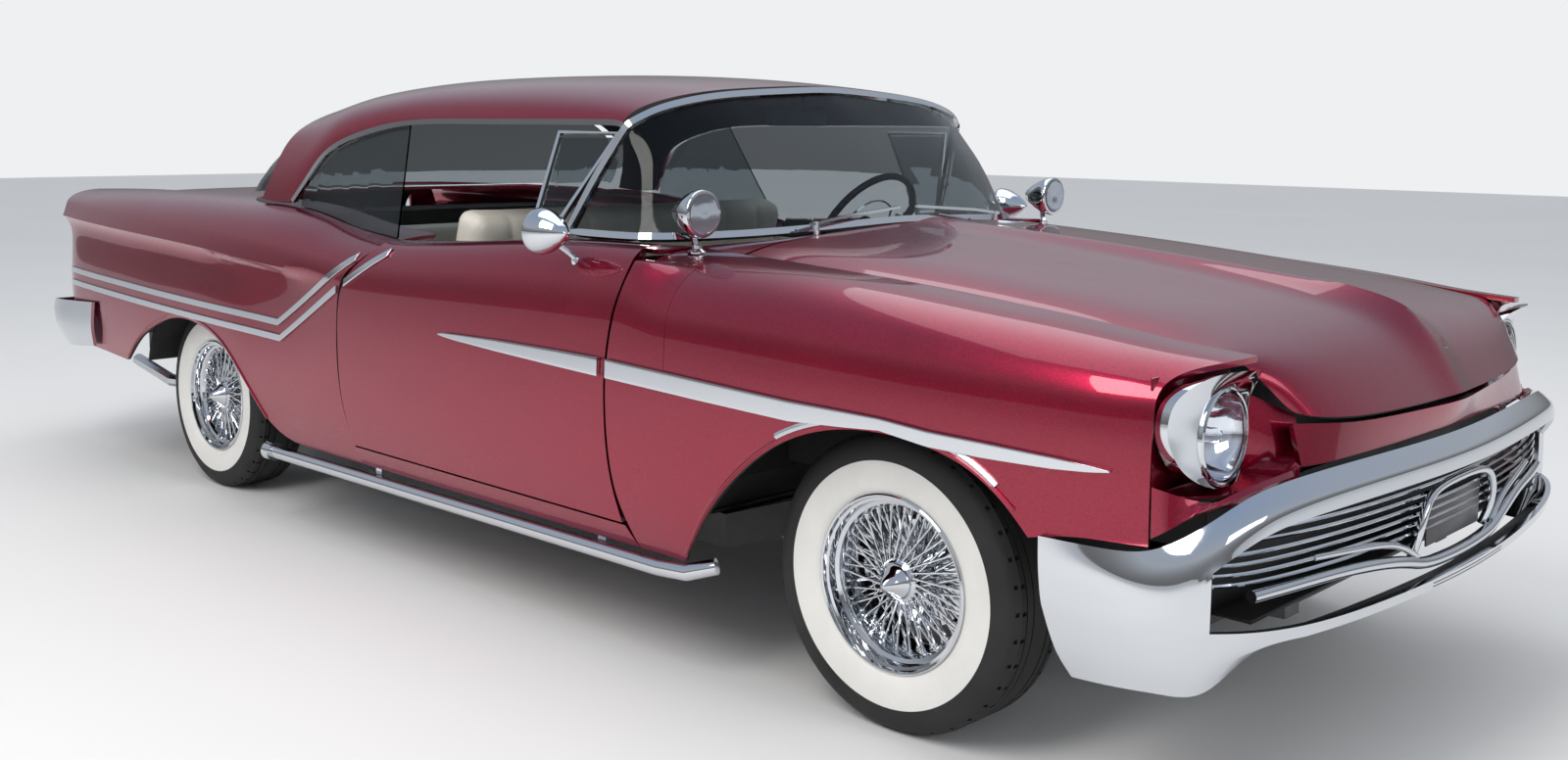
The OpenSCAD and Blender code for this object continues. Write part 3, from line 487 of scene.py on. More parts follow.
class COUPE_OT_finishes(bpy.types.Operator):
    """Makes the paint, plating, glass, rubber and cabin materials"""

    bl_idname = "coupe.finishes"
    bl_label = "Finishes"

    def execute(self, context):
        look = context.scene.coupe_finish
        patch_group()
        flakes, grain = flake_group(), grain_group()

        tree, paint = shader("candy_paint", Metallic=0.9, Coat_Weight=1.0, Coat_Roughness=0.03)
        speck = use_group(tree, flakes, Scale=1 / look.flake_size, Contrast=1.0)
        tree.links.new(blend_colours(tree, speck.outputs["Mask"], look.paint_deep, look.paint),
                       paint.inputs["Base Color"])
        tree.links.new(speck.outputs["Normal"], paint.inputs["Normal"])
        worn(tree, paint, 0.26, 0.34)

        for name, base, low, high in (
                ("chrome_plate", look.chrome, 0.035, 0.085),
                ("brushed_steel", (0.62, 0.63, 0.65, 1), 0.22, 0.34),
                ("reflector", (0.9, 0.9, 0.92, 1), 0.05, 0.08)):
            tree, metal = shader(name, Metallic=1.0, Base_Color=base)
            worn(tree, metal, low, high, 6.0)

        for name, low, high, rough in (
                ("undercoat", (0.012, 0.012, 0.013, 1), (0.03, 0.028, 0.026, 1), (0.6, 0.9)),
                ("frame_black", (0.015, 0.015, 0.016, 1), (0.03, 0.03, 0.03, 1), (0.35, 0.55)),
                ("cast_iron", (0.06, 0.06, 0.062, 1), (0.11, 0.105, 0.1, 1), (0.5, 0.75)),
                ("engine_enamel", (0.02, 0.05, 0.1, 1), (0.03, 0.07, 0.13, 1), (0.3, 0.45)),
                # Real dark paint on the dash and plates, and painted shade in the bumper's pressed
                # grooves
                ("dark_paint_and_shade", (0.02, 0.018, 0.02, 1), (0.04, 0.035, 0.038, 1), (0.3, 0.45)),
                # Painted shade: the near-black of the grille opening
                ("grille_shade_black", (0.006, 0.006, 0.006, 1), (0.012, 0.012, 0.012, 1), (0.4, 0.6))):
            tree, coat = shader(name)
            tinted(tree, coat, low, high, 5.0)
            worn(tree, coat, rough[0], rough[1])

        for name, low, high, scale, depth, rough in (
                ("white_vinyl", (0.72, 0.68, 0.6, 1), look.vinyl, 260.0, 0.16, 0.42),
                ("dark_vinyl", (0.02, 0.017, 0.017, 1), (0.035, 0.03, 0.03, 1), 300.0, 0.25, 0.45),
                ("tyre_rubber", (0.012, 0.012, 0.012, 1), (0.022, 0.021, 0.02, 1), 220.0, 0.12, 0.72),
                ("white_rubber", (0.7, 0.69, 0.66, 1), (0.78, 0.77, 0.74, 1), 200.0, 0.06, 0.55),
                ("headliner", (0.045, 0.042, 0.042, 1), (0.07, 0.066, 0.064, 1), 420.0, 0.5, 0.9),
                ("wheel_plastic", (0.012, 0.012, 0.012, 1), (0.02, 0.02, 0.02, 1), 160.0, 0.03, 0.22)):
            tree, soft = shader(name)
            tinted(tree, soft, low, high, 7.0)
            pebbles = use_group(tree, grain, Scale=scale, Depth=depth)
            tree.links.new(pebbles.outputs["Normal"], soft.inputs["Normal"])
            worn(tree, soft, rough - 0.05, rough + 0.05)

        for name, base, rough in (
                ("window_glass", (0.42, 0.46, 0.47, 1), 0.004),
                ("lamp_glass", (0.95, 0.97, 1, 1), 0.03),
                ("red_lens", (0.75, 0.01, 0.015, 1), 0.08)):
            tree, glass = shader(name, Base_Color=base, Transmission_Weight=1.0, IOR=1.25)
            worn(tree, glass, rough * 0.5, rough)
        tree, mirror = shader("mirror_glass", Metallic=1.0, Base_Color=(0.85, 0.87, 0.88, 1))
        worn(tree, mirror, 0.01, 0.03)
        return {"FINISHED"}


# ---- Body panels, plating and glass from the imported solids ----

PAINTED = (
    "left_front_fender", "right_front_fender", "left_rear_quarter", "right_rear_quarter", "roof",
    "hood", "trunk_lid", "deck_panel", "tail_panel", "front_panel", "cowl", "rockers", "left_door",
    "right_door")
PLATED = ("front_bumper", "rear_bumper", "windshield_frame", "headlight_bezels", "lake_pipes",
          "left_vent_frame", "right_vent_frame")
GLAZED = ("windshield", "rear_window", "quarter_windows", "left_vent_glass", "right_vent_glass")
UNDER = {
    "chassis_frame": "frame_black", "floor_pan": "undercoat", "inner_fenders": "undercoat",
    "dashboard": "dark_paint_and_shade", "steering_column": "dark_paint_and_shade", "engine_block": "engine_enamel",
    "front_suspension": "cast_iron", "rear_suspension": "cast_iron", "fuel_tank": "undercoat",
    "exhaust": "brushed_steel", "left_knuckle": "cast_iron", "right_knuckle": "cast_iron",
    "wipers": "chrome_plate"}
PLAIN_PANELS = ("rockers", "lake_pipes", "left_vent_frame", "right_vent_frame", "left_vent_glass",
                "right_vent_glass", "quarter_windows")


def skin(node, material, levels=2, angle=38):
    """A merged copy of a node's mesh, smoothed across its faces and sharp at its edges."""
    source = frame["nodes"][node]
    body = source["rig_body"]
    copy = twin(source, node + "_skin")
    only(copy)
    if copy.data.has_custom_normals:
        bpy.ops.mesh.customdata_custom_splitnormals_clear()
    edit(copy)
    bpy.ops.mesh.remove_doubles(threshold=MERGE)
    bpy.ops.mesh.tris_convert_to_quads(face_threshold=radians(35), shape_threshold=radians(80))
    if levels:
        bpy.ops.mesh.select_mode(type="EDGE")
        bpy.ops.mesh.select_all(action="DESELECT")
        bpy.ops.mesh.edges_select_sharp(sharpness=radians(angle))
        bpy.ops.transform.edge_crease(value=1.0)
        to_object_mode()
        subdivided(copy, levels)
    to_object_mode()
    smooth(copy, angle)
    finish_piece(copy, node + "_skin", body, material, (node,))
    SKINS[node] = copy
    return copy


def second_finish(obj, material, test):
    """Gives the faces that test() accepts another material."""
    obj.data.materials.append(MATERIALS[material])
    index = len(obj.data.materials) - 1
    for face in obj.data.polygons:
        if test(face.center, face.normal):
            face.material_index = index


class COUPE_OT_panels(bpy.types.Operator):
    """Smooths and paints the body panels, and lines their inner faces"""

    bl_idname = "coupe.panels"
    bl_label = "Body panels"

    def execute(self, context):
        for node in PAINTED:
            panel = skin(node, "candy_paint", 0 if node in PLAIN_PANELS else 2)
            if node == "roof":
                second_finish(panel, "headliner", lambda c, n: n.z < -0.1)
            elif node.endswith("_door"):
                second_finish(panel, "dark_vinyl", lambda c, n: abs(n.x) > 0.9 and n.x * c.x < 0)
            elif node in ("hood", "trunk_lid", "deck_panel"):
                second_finish(panel, "undercoat", lambda c, n: n.z < -0.2)
            elif "fender" in node or "quarter" in node:
                second_finish(panel, "undercoat", lambda c, n: n.x * c.x < 0 and n.z < 0.3
                              and c.z < 0.86 and -2.36 < c.y < 2.4)
        return {"FINISHED"}


class COUPE_OT_plating(bpy.types.Operator):
    """Chromes the bumpers, frames, bezels and pipes, and finishes the running gear"""

    bl_idname = "coupe.plating"
    bl_label = "Plating and running gear"

    def execute(self, context):
        for node in PLATED:
            part = skin(node, "chrome_plate", 0 if node in PLAIN_PANELS else 2, 40)
            if node == "windshield_frame":
                second_finish(part, "dark_vinyl", lambda c, n: n.y > 0.25 and c.z > 0.98 and c.y < -0.2)
        for node, material in UNDER.items():
            obj = frame["nodes"][node]
            obj.data.materials.clear()
            obj.data.materials.append(MATERIALS[material])
        return {"FINISHED"}


class COUPE_OT_glazing(bpy.types.Operator):
    """Makes the windows clear and smooth"""

    bl_idname = "coupe.glazing"
    bl_label = "Windows"

    def execute(self, context):
        for node in GLAZED:
            pane = skin(node, "window_glass", 0 if node in PLAIN_PANELS else 1, 40)
        return {"FINISHED"}


# ---- Wheels and tyres ----

WHEELS = (("front_left", LEFT, FRONT_AXLE_Y), ("front_right", RIGHT, FRONT_AXLE_Y),
          ("rear_left", LEFT, REAR_AXLE_Y), ("rear_right", RIGHT, REAR_AXLE_Y))
TYRE_SEGMENTS = 180
TREAD_CUT_EVERY = 5
TREAD_RIBS = ((0.055, 0.071), (0.031, 0.05), (0.003, 0.026))
GROOVE_RADIUS = 0.3235


def send_to_wheels(master, piece, node):
    """Copies a piece made round the X axis to the four wheels, outer side out."""
    for wheel, side, axle_y in WHEELS:
        copy = twin(master, "%s_%s" % (wheel, piece))
        copy.location = (side * TRACK_HALF, axle_y, AXLE_Z)
        if side == RIGHT:
            copy.rotation_euler = (0, 0, pi)
        finish_piece(copy, copy.name, wheel + "_wheel_assembly", None, (wheel + node,))
    bpy.data.objects.remove(master)


class COUPE_OT_tyres(bpy.types.Operator):
    """Turns a tyre with ribs, cross cuts and a wide white band, and fits four"""

    bl_idname = "coupe.tyres"
    bl_label = "Tyres"

    def cross_cut(self, face):
        """Whether a face is one of the cuts across the shoulder ribs."""
        centre = face.calc_center_median()
        step = int(round(degrees(atan2(centre.z, centre.y)) / (360 / TYRE_SEGMENTS) - 0.5))
        on_shoulder = (abs(face.normal.x) < 0.6 and 0.053 < abs(centre.x) < 0.09
                       and centre.yz.length > 0.322)
        return on_shoulder and step % TREAD_CUT_EVERY == 0

    def execute(self, context):
        wheels = context.scene.coupe_wheels
        half = [(0.078, 0.1925), (0.09, 0.205), (0.0945, 0.214), (0.0985, 0.236), (0.0997, 0.262),
                (0.0999, 0.272), (0.0985, 0.29), (0.093, 0.309), (0.084, 0.322), (0.074, 0.3275)]
        for low, high in TREAD_RIBS:
            half += [(high, 0.3305), (low, 0.3309),
                     (low - 0.0003, GROOVE_RADIUS), (low - 0.0045, GROOVE_RADIUS)]
        half = half[:-2]
        tyre = spun(half + [(-x, r) for x, r in reversed(half)], TYRE_SEGMENTS)
        edit(tyre)
        pick_faces(tyre, self.cross_cut)
        bpy.ops.mesh.inset(thickness=0.0012)
        bpy.ops.mesh.extrude_region_shrink_fatten(TRANSFORM_OT_shrink_fatten={"value": -0.006})
        to_object_mode()
        smooth(tyre, 40)
        tyre.data.materials.append(MATERIALS["tyre_rubber"])
        low, high = wheels.white_inner, wheels.white_outer
        second_finish(tyre, "white_rubber", lambda c, n: c.x > 0.05 and low < c.yz.length < high)
        send_to_wheels(tyre, "tyre_cover", "_tyre")
        return {"FINISHED"}


def spoke(start, end, radius):
    """A thin rod with a thicker nipple at its rim end."""
    start, end = Vector(start), Vector(end)
    along = end - start
    deselect()
    bpy.ops.mesh.primitive_cylinder_add(vertices=6, radius=radius, depth=along.length)
    rod = bpy.context.object
    edit(rod)
    pick_faces(rod, lambda f: f.normal.z > 0.9)
    bpy.ops.transform.translate(value=(0, 0, -0.013))
    pull(0, 0, 0)
    bpy.ops.transform.resize(value=(1.8, 1.8, 1))
    pull(0, 0, 0.013)
    to_object_mode()
    aim(rod, (0, 0, 1), along)
    rod.location = (start + end) / 2
    return settle(rod)


class COUPE_OT_wire_wheels(bpy.types.Operator):
    """Builds a laced wire wheel with a deep lip and a pointed spinner, and fits four"""

    bl_idname = "coupe.wire_wheels"
    bl_label = "Wire wheels"

    def execute(self, context):
        wheels = context.scene.coupe_wheels
        rim = spun([(0.09, 0.198), (0.092, 0.195), (0.0905, 0.191), (0.082, 0.1885), (0.08, 0.182),
                    (0.072, 0.18), (0.062, 0.179), (0.058, 0.17), (0.05, 0.166), (0.044, 0.163),
                    (-0.04, 0.163), (-0.062, 0.176), (-0.09, 0.18), (-0.092, 0.197),
                    (-0.082, 0.1985), (-0.079, 0.1918), (0.079, 0.1918), (0.082, 0.1985)], 96)
        smooth(rim, 30)
        hub = spun([(0.064, 0.002), (0.066, 0.042), (0.06, 0.05), (0.046, 0.052), (0.04, 0.046),
                    (-0.02, 0.044), (-0.028, 0.06), (-0.034, 0.12), (-0.056, 0.128),
                    (-0.058, 0.0215), (0.058, 0.0205), (0.06, 0.002)], 48)
        smooth(hub, 35)
        cap = spun([(0.0655, 0.001), (0.0655, 0.039), (0.07, 0.0405), (0.074, 0.038), (0.078, 0.0335),
                    (0.09, 0.0245), (0.102, 0.0155), (0.1105, 0.008), (0.114, 0.003),
                    (0.1148, 0.0004)], 48)
        smooth(cap, 50)
        rods = []
        count, radius = wheels.spokes, wheels.spoke_radius
        rows = ((0.061, 0.046, 0.0475, 0.1655, 17), (0.055, 0.048, 0.04, 0.164, -17),
                (0.002, 0.042, 0.012, 0.164, 13), (-0.008, 0.042, 0.0, 0.164, -13))
        for row, (hub_x, hub_r, rim_x, rim_r, lead) in enumerate(rows):
            first = spoke((hub_x, 0, hub_r),
                          (rim_x, rim_r * sin(radians(lead)), rim_r * cos(radians(lead))), radius)
            for i in range(count):
                rod = first if i == count - 1 else twin(first, "rod")
                rod.rotation_mode = "XYZ"
                rod.rotation_euler = (2 * pi * (i + row * 0.25) / count, 0, 0)
                rods.append(rod)
        wheel = settle(join([rim, hub, cap] + rods))
        wheel.data.materials.append(MATERIALS["chrome_plate"])
        send_to_wheels(wheel, "wire_wheel", "_wheel")
        return {"FINISHED"}


# ---- Bright trim on the sides ----


def ribbon(line, target, height):
    """A strip along (y, z, width) stations, laid on the outside of a left-hand panel."""
    y, z, width = line[0]
    obj = chain([(BESIDE_CAR_X, y, z - width / 2), (BESIDE_CAR_X, y, z + width / 2)])
    edit(obj)
    for (ya, za, wa), (yb, zb, wb) in zip(line, line[1:]):
        pull(0, yb - ya, zb - za)
        bpy.ops.transform.resize(value=(1, 1, wb / wa), center_override=(BESIDE_CAR_X, yb, zb))
    bpy.ops.mesh.select_all(action="SELECT")
    longest = max(abs(b[0] - a[0]) for a, b in zip(line, line[1:]))
    bpy.ops.mesh.subdivide(number_cuts=min(12, max(2, int(longest / 0.06))))
    to_object_mode()
    face_left(obj)
    add_modifier(obj, "SHRINKWRAP", wrap_method="PROJECT", use_project_x=True, use_project_y=False,
                 use_project_z=False, use_negative_direction=True, use_positive_direction=False,
                 target=target, offset=0.0008)
    add_modifier(obj, "SOLIDIFY", thickness=height, offset=1.0)
    add_modifier(obj, "BEVEL", width=min(0.0028, height * 0.4), segments=3, limit_method="ANGLE",
                 angle_limit=radians(40))
    apply_all(obj)
    smooth(obj, 45)
    return obj


class COUPE_OT_side_trim(bpy.types.Operator):
    """Lays the double strips on the quarters and the spear on the fenders and doors"""

    bl_idname = "coupe.side_trim"
    bl_label = "Side trim"

    def execute(self, context):
        trim = context.scene.coupe_trim
        w, h = trim.strip_width, trim.strip_height
        pieces = (
            ("upper_strip", "rear_quarter", h,
             [(2.415, 0.718, w), (0.674, 0.679, w), (0.232, 0.9161, w * 1.1)]),
            ("lower_strip", "rear_quarter", h,
             [(2.4, 0.669, w), (0.658, 0.63, w), (0.311, 0.8163, w * 1.1)]),
            ("door_strip", "door", h, [(0.272, 0.8373, w * 1.1), (0.082, 0.9395, w * 1.1)]),
            ("fender_spear", "front_fender", h * 1.6, [
                (-2.312, 0.698, 0.003), (-2.27, 0.6985, 0.013), (-2.2, 0.699, 0.022),
                (-2.05, 0.701, 0.03), (-1.92, 0.7035, 0.031), (-1.8, 0.715, 0.025),
                (-1.7, 0.712, 0.034), (-1.55, 0.708, 0.044), (-1.25, 0.717, 0.046),
                (-0.944, 0.727, 0.046)]),
            ("door_spear", "door", h * 1.6, [
                (-0.914, 0.728, 0.046), (-0.75, 0.731, 0.041), (-0.5, 0.735, 0.03),
                (-0.32, 0.737, 0.017), (-0.262, 0.738, 0.01), (-0.236, 0.738, 0.003)]))
        for name, panel, height, line in pieces:
            body = "left_door_assembly" if panel == "door" else "body"
            pair(ribbon(line, SKINS["left_" + panel], height), name, body, "chrome_plate")
        self.arch_lips()
        return {"FINISHED"}

    def arch_lips(self):
        """A rolled lip round each wheel opening, and the bright rim over the front ones."""
        front = [(-0.4, 0.252), (-0.322, 0.315), (-0.23, 0.352), (-0.08, 0.37), (0.06, 0.356),
                 (0.2, 0.308), (0.314, 0.226), (0.438, 0.106), (0.535, -0.034)]
        rear = [(-0.582, 0.006), (-0.496, 0.098), (-0.4, 0.188), (-0.306, 0.252), (-0.158, 0.292),
                (0.0, 0.3), (0.13, 0.27), (0.26, 0.222), (0.355, 0.176), (0.46, 0.09)]
        for name, panel, axle_y, points in (("front", "left_front_fender", FRONT_AXLE_Y, front),
                                            ("rear", "left_rear_quarter", REAR_AXLE_Y, rear)):
            line = chain([(BESIDE_CAR_X, axle_y + y, AXLE_Z + z + 0.01) for y, z in points])
            subdivided(line, 3)
            ring = sorted((v.co.copy() for v in line.data.vertices), key=lambda p: p.y)
            bpy.data.objects.remove(line)
            edge = landed(SKINS[panel], ring, (-1, 0, 0))
            lip = cable(edge, 0.005, rounds=0)
            if name == "front":
                bright = [at + Vector((0, 0, 0.01)) for at in edge if -2.08 < at.y < -1.5]
                pair(cable(bright, 0.0078, rounds=0), "arch_brightwork", "body",
                     "chrome_plate")
            pair(lip, name + "_arch_lip", "body", "candy_paint")


# ---- Fairings between the fenders and the doors ----


def eased(t):
    t = min(1.0, max(0.0, t))
    return t * t * (3 - 2 * t)


def section_hit(panel, angle, y):
    """How far the skin of a left-hand panel is from the shoulder's middle, at an angle."""
    out = Vector((cos(angle), 0, sin(angle)))
    middle = Vector((SHOULDER_MIDDLE[0], y, SHOULDER_MIDDLE[1]))
    found, at, _, _ = panel.ray_cast(middle + out * 0.7, -out, distance=0.6)
    return (at - middle).length if found else None


class COUPE_OT_cowl_sides(bpy.types.Operator):
    """Fairs the rear end of each fender up to the door's shoulder"""

    bl_idname = "coupe.cowl_sides"
    bl_label = "Cowl sides"

    def execute(self, context):
        fender, door = SKINS["left_front_fender"], SKINS["left_door"]
        seam = [(0.6, -0.932), (0.66, -0.929), (0.72, -0.929), (0.86, -0.95), (0.955, -0.976),
                (1.1, -0.976)]

        def seam_y(z):
            for (za, ya), (zb, yb) in zip(seam, seam[1:]):
                if z <= zb:
                    return ya + (yb - ya) * max(0, z - za) / (zb - za)
            return seam[-1][1]

        rows, columns, start_y, gap = 22, 10, -1.14, 0.0075
        low, high = radians(-14), radians(40)
        middle_x, middle_z = SHOULDER_MIDDLE
        grid = []
        for i in range(rows + 1):
            angle = low + (high - low) * i / rows
            edge_fender = section_hit(fender, angle, -0.985)
            edge_door = section_hit(door, angle, -0.93)
            if edge_fender is None:
                continue
            z_end = middle_z + edge_fender * sin(angle)
            rise = max(0.0, (edge_door or edge_fender) - edge_fender)
            fade = eased((angle - low) / radians(10)) * eased((high - angle) / radians(8))
            line = []
            for j in range(columns + 1):
                t = j / columns
                y = start_y + (seam_y(z_end) - gap - start_y) * t
                radius = section_hit(fender, angle, min(y, seam_y(z_end) - 0.01))
                if radius is None:
                    break
                radius += rise * fade * eased(t) + 0.0008
                line.append((middle_x + radius * cos(angle), y, middle_z + radius * sin(angle)))
            if len(line) == columns + 1:
                grid.append(line)
        deselect()
        bpy.ops.mesh.primitive_grid_add(x_subdivisions=len(grid) - 1, y_subdivisions=columns, size=1)
        fairing = context.object
        order = sorted(fairing.data.vertices, key=lambda v: (round(v.co.x, 4), round(v.co.y, 4)))
        for vertex, point in zip(order, [p for line in grid for p in line]):
            vertex.co = point
        face_left(fairing)
        thicken(fairing, 0.004, -1)
        smooth(fairing, 50)
        pair(fairing, "cowl_side", "body", "candy_paint")
        return {"FINISHED"}


# ---- Front end ----

GRILLE_BARS = 7
LOWEST_BAR_Z = 0.502
BAR_PITCH = 0.0185


class COUPE_OT_nose(bpy.types.Operator):
    """Closes the nose round the lamps and builds the grille behind the bumper"""

    bl_idname = "coupe.nose"
    bl_label = "Nose and grille"

    def surround(self):
        """The painted cheek, shelf and plate round a headlamp."""
        plate = block((0.6, -2.3725, 0.655), (0.897, -2.3665, 0.874), 0.002)
        deselect()
        bpy.ops.mesh.primitive_grid_add(x_subdivisions=8, y_subdivisions=6, size=1, location=(0, 0, 0))
        cheek = bpy.context.object
        for vertex in cheek.data.vertices:
            across, height = vertex.co.x + 0.5, vertex.co.y + 0.5
            x = 0.56 + 0.14 * across
            y = -2.5 + 0.126 * across ** 1.15 + 0.03 * max(0, height - 0.55)
            vertex.co = (x, y, 0.64 + 0.138 * height + 0.082 * height * across)
        thicken(cheek, 0.003, 0)
        outward(cheek)
        shelf = chain([(0.575, -2.496, 0.654), (0.66, -2.494, 0.655), (0.72, -2.484, 0.656),
                       (0.8, -2.462, 0.656), (0.85, -2.428, 0.656), (0.893, -2.372, 0.656)])
        edit(shelf)
        pull(0, 0.1, 0)
        bpy.ops.transform.resize(value=(1, 0, 1), center_override=(0.7, -2.371, 0.656))
        to_object_mode()
        thicken(shelf, 0.003, 0)
        outward(shelf)
        whole = join([cheek, shelf, plate])
        smooth(whole, 40)
        pair(whole, "lamp_surround", "body", "candy_paint")

    def execute(self, context):
        self.surround()
        line = both_ways([(-0.852, -2.491), (-0.79, -2.53), (-0.534, -2.578), (-0.27, -2.601),
                          (0, -2.61)])
        bars = []
        for n in range(GRILLE_BARS):
            z = LOWEST_BAR_Z + BAR_PITCH * n
            short = 0.04 if z > 0.56 else 0.0
            bars.append(cable([(x - (short if x > 0.6 else -short if x < -0.6 else 0), y + 0.012, z)
                               for x, y in line], 0.0042, rounds=2))
        plated(join(bars), "grille_bars", replaces=("grille",))

        # A near-black sheet and tray behind the bars: painted shade of the grille opening.
        pan = block((-0.8, -2.44, 0.404), (0.8, -2.43, 0.636), 0.002)
        tray = block((-0.78, -2.52, 0.424), (0.78, -2.432, 0.432), 0.002)
        finish_piece(join([pan, tray]), "grille_shade_pan", "body", "grille_shade_black", ("grille",))

        sill = cable(both_ways([
            (-0.785, -2.52, 0.478), (-0.66, -2.546, 0.48), (-0.5, -2.566, 0.477),
            (-0.36, -2.59, 0.47), (-0.25, -2.602, 0.452), (-0.19, -2.606, 0.434),
            (0, -2.612, 0.43)]), 0.013, 12, rounds=2)
        hoop = cable(both_ways([
            (-0.205, -2.585, 0.445), (-0.215, -2.604, 0.5), (-0.195, -2.608, 0.56),
            (-0.15, -2.606, 0.588), (0, -2.61, 0.594)]), 0.009, 12, rounds=2)
        wings = [cable([(side * x, y, z) for x, y, z in (
            (0.215, -2.6, 0.455), (0.3, -2.595, 0.5), (0.42, -2.58, 0.512),
            (0.6, -2.551, 0.5205))], 0.0075, 12, rounds=2) for side in (RIGHT, LEFT)]
        plated(join([sill, hoop] + wings), "grille_guard", replaces=("grille",))
        tag = block((-0.152, -2.596, 0.462), (0.152, -2.592, 0.556), 0.0015)
        finish_piece(tag, "front_blank_plate", "body", "dark_paint_and_shade")
        self.bumper_groove_shade()
        return {"FINISHED"}

    def bumper_groove_shade(self):
        """Two dark lines along the middle of the bumper's lower edge: painted shade of its two pressed
        grooves.
        """
        ribs = []
        for z in (0.404, 0.3965):
            starts = [(n / 20 * 0.2, -2.8, z) for n in range(-20, 21)]
            row = landed(SKINS["front_bumper"], starts, (0, 1, 0), (0, 0.0025, 0))
            ribs.append(cable(row, 0.0032, rounds=0))
        finish_piece(join(ribs), "bumper_groove_shade", "body", "dark_paint_and_shade")


class COUPE_OT_lamps(bpy.types.Operator):
    """Builds the headlamps, the tail lamps and the rear blank plate"""

    bl_idname = "coupe.lamps"
    bl_label = "Lamps"

    def execute(self, context):
        lens = [(0.004, 0.083), (0.008, 0.083), (0.014, 0.07), (0.0185, 0.048), (0.0197, 0.024),
                (0.0199, NEAR_AXIS), (0.0165, NEAR_AXIS), (0.0162, 0.024), (0.015, 0.046),
                (0.0105, 0.068), (0.004, 0.08)]
        bowl = [(0.003, 0.0815), (-0.01, 0.078), (-0.026, 0.066), (-0.038, 0.048), (-0.046, 0.026),
                (-0.048, NEAR_AXIS), (-0.051, NEAR_AXIS), (-0.049, 0.028), (-0.041, 0.051),
                (-0.029, 0.069), (-0.013, 0.082), (0.003, 0.0852)]
        ring = [(-0.002, 0.0835), (0.006, 0.0835), (0.01, 0.085), (0.011, 0.0885),
                (0.009, 0.0925), (0.004, 0.0945), (-0.003, 0.093)]
        bulb = [(-0.046, 0.001), (-0.046, 0.012), (-0.03, 0.012), (-0.026, 0.014),
                (-0.012, 0.015), (-0.004, 0.011), (0.0, 0.001)]
        for name, profile, steps, material, slot, replaces in (
                ("lamp_lens", lens, 56, "lamp_glass", "glass", ("headlamps",)),
                ("lamp_bowl", bowl, 56, "reflector", "chrome", ("headlamps",)),
                ("lamp_ring", ring, 56, "chrome_plate", "chrome", ()),
                ("lamp_bulb", bulb, 24, "lamp_glass", "glass", ())):
            pair(lathe(profile, HEADLAMP, (0, -1, 0), steps), name, "body", material, replaces)
        tail = landed(SKINS["tail_panel"], [(0, 3.2, 0.605)], (0, -1, 0))[0].y
        tag = block((-0.152, tail + 0.001, 0.565), (0.152, tail + 0.005, 0.655), 0.0015)
        finish_piece(tag, "rear_blank_plate", "body", "dark_paint_and_shade")
        glass = [(0.0, NEAR_AXIS), (0.0, 0.0445), (0.046, 0.0445), (0.05, 0.043), (0.058, 0.036),
                 (0.0625, 0.022), (0.0635, NEAR_AXIS)]
        rim = [(0.0, 0.045), (0.0, 0.052), (0.014, 0.0535), (0.04, 0.0515), (0.047, 0.047),
               (0.047, 0.045)]
        for side, word in SIDES:
            centre = (side * 0.792, 2.4901, 0.946)
            finish_piece(lathe(glass, centre, (0, 1, 0), 48), word + "_tail_lens", "body",
                         "red_lens", ("tail_lights",) if side == LEFT else ())
            plated(lathe(rim, centre, (0, 1, 0), 48), word + "_tail_ring")
        return {"FINISHED"}


class COUPE_OT_mirrors(bpy.types.Operator):
    """Builds the bullet mirrors and the bullet spotlights on their stalks"""

    bl_idname = "coupe.mirrors"
    bl_label = "Mirrors and spotlights"

    def bullet(self, centre, toward):
        """A smooth teardrop shell whose flat face looks towards a direction."""
        profile = [(0.0, NEAR_AXIS), (0.0, 0.9), (0.02, 0.97), (0.08, 1.0), (0.3, 0.985),
                   (0.6, 0.9), (0.95, 0.74), (1.3, 0.54), (1.6, 0.32), (1.78, 0.12),
                   (1.82, NEAR_AXIS)]
        return lathe([(-a * BULLET_RADIUS, r * BULLET_RADIUS) for a, r in profile], centre, toward)

    def execute(self, context):
        back = Vector((0, 1, 0))
        head = Vector((1.0, -0.716, 1.052))
        foot, top = Vector((0.906, -0.767, 0.961)), Vector((0.992, -0.752, 1.03))
        knee = foot.lerp(top, 0.35) + Vector((-0.004, 0, 0.006))
        flare = [(0.0, NEAR_AXIS), (0.0, 0.026), (0.004, 0.025), (0.01, 0.016), (0.026, 0.0095),
                 (0.034, NEAR_AXIS)]
        mirror = join([self.bullet(head, back), cable([foot, knee, top], 0.0075, rounds=2),
                       lathe(flare, foot + Vector((0.002, 0, 0.001)), top - foot, 28)])
        pair(mirror, "mirror_shell", "left_door_assembly", "chrome_plate",
             ("left_mirror",), ("right_mirror",))
        glass = [(0.0003, NEAR_AXIS), (0.0003, 0.05), (0.0018, 0.05), (0.0018, NEAR_AXIS)]
        pair(lathe(glass, head, back), "mirror_glass", "left_door_assembly", "mirror_glass")

        head = Vector((0.775, -1.078, 1.104))
        foot, top = Vector((0.768, -1.046, 1.004)), Vector((0.775, -1.034, 1.062))
        flare = [(0.0, NEAR_AXIS), (0.0, 0.024), (0.004, 0.024), (0.012, 0.0125), (0.02, 0.0125),
                 (0.022, NEAR_AXIS)]
        light = join([self.bullet(head, -back), cable([foot, foot.lerp(top, 0.5), top], 0.0085),
                      lathe(flare, foot + Vector((0, 0, 0.001)), (0, 0, 1), 28)])
        pair(light, "spotlight_shell", "body", "chrome_plate", ("spotlights",))
        glass = [(0.0004, NEAR_AXIS), (0.0004, 0.05), (0.003, 0.049), (0.0065, 0.034),
                 (0.008, NEAR_AXIS)]
        pair(lathe(glass, head, -back), "spotlight_lens", "body", "lamp_glass")
        return {"FINISHED"}


# ---- Cabin ----


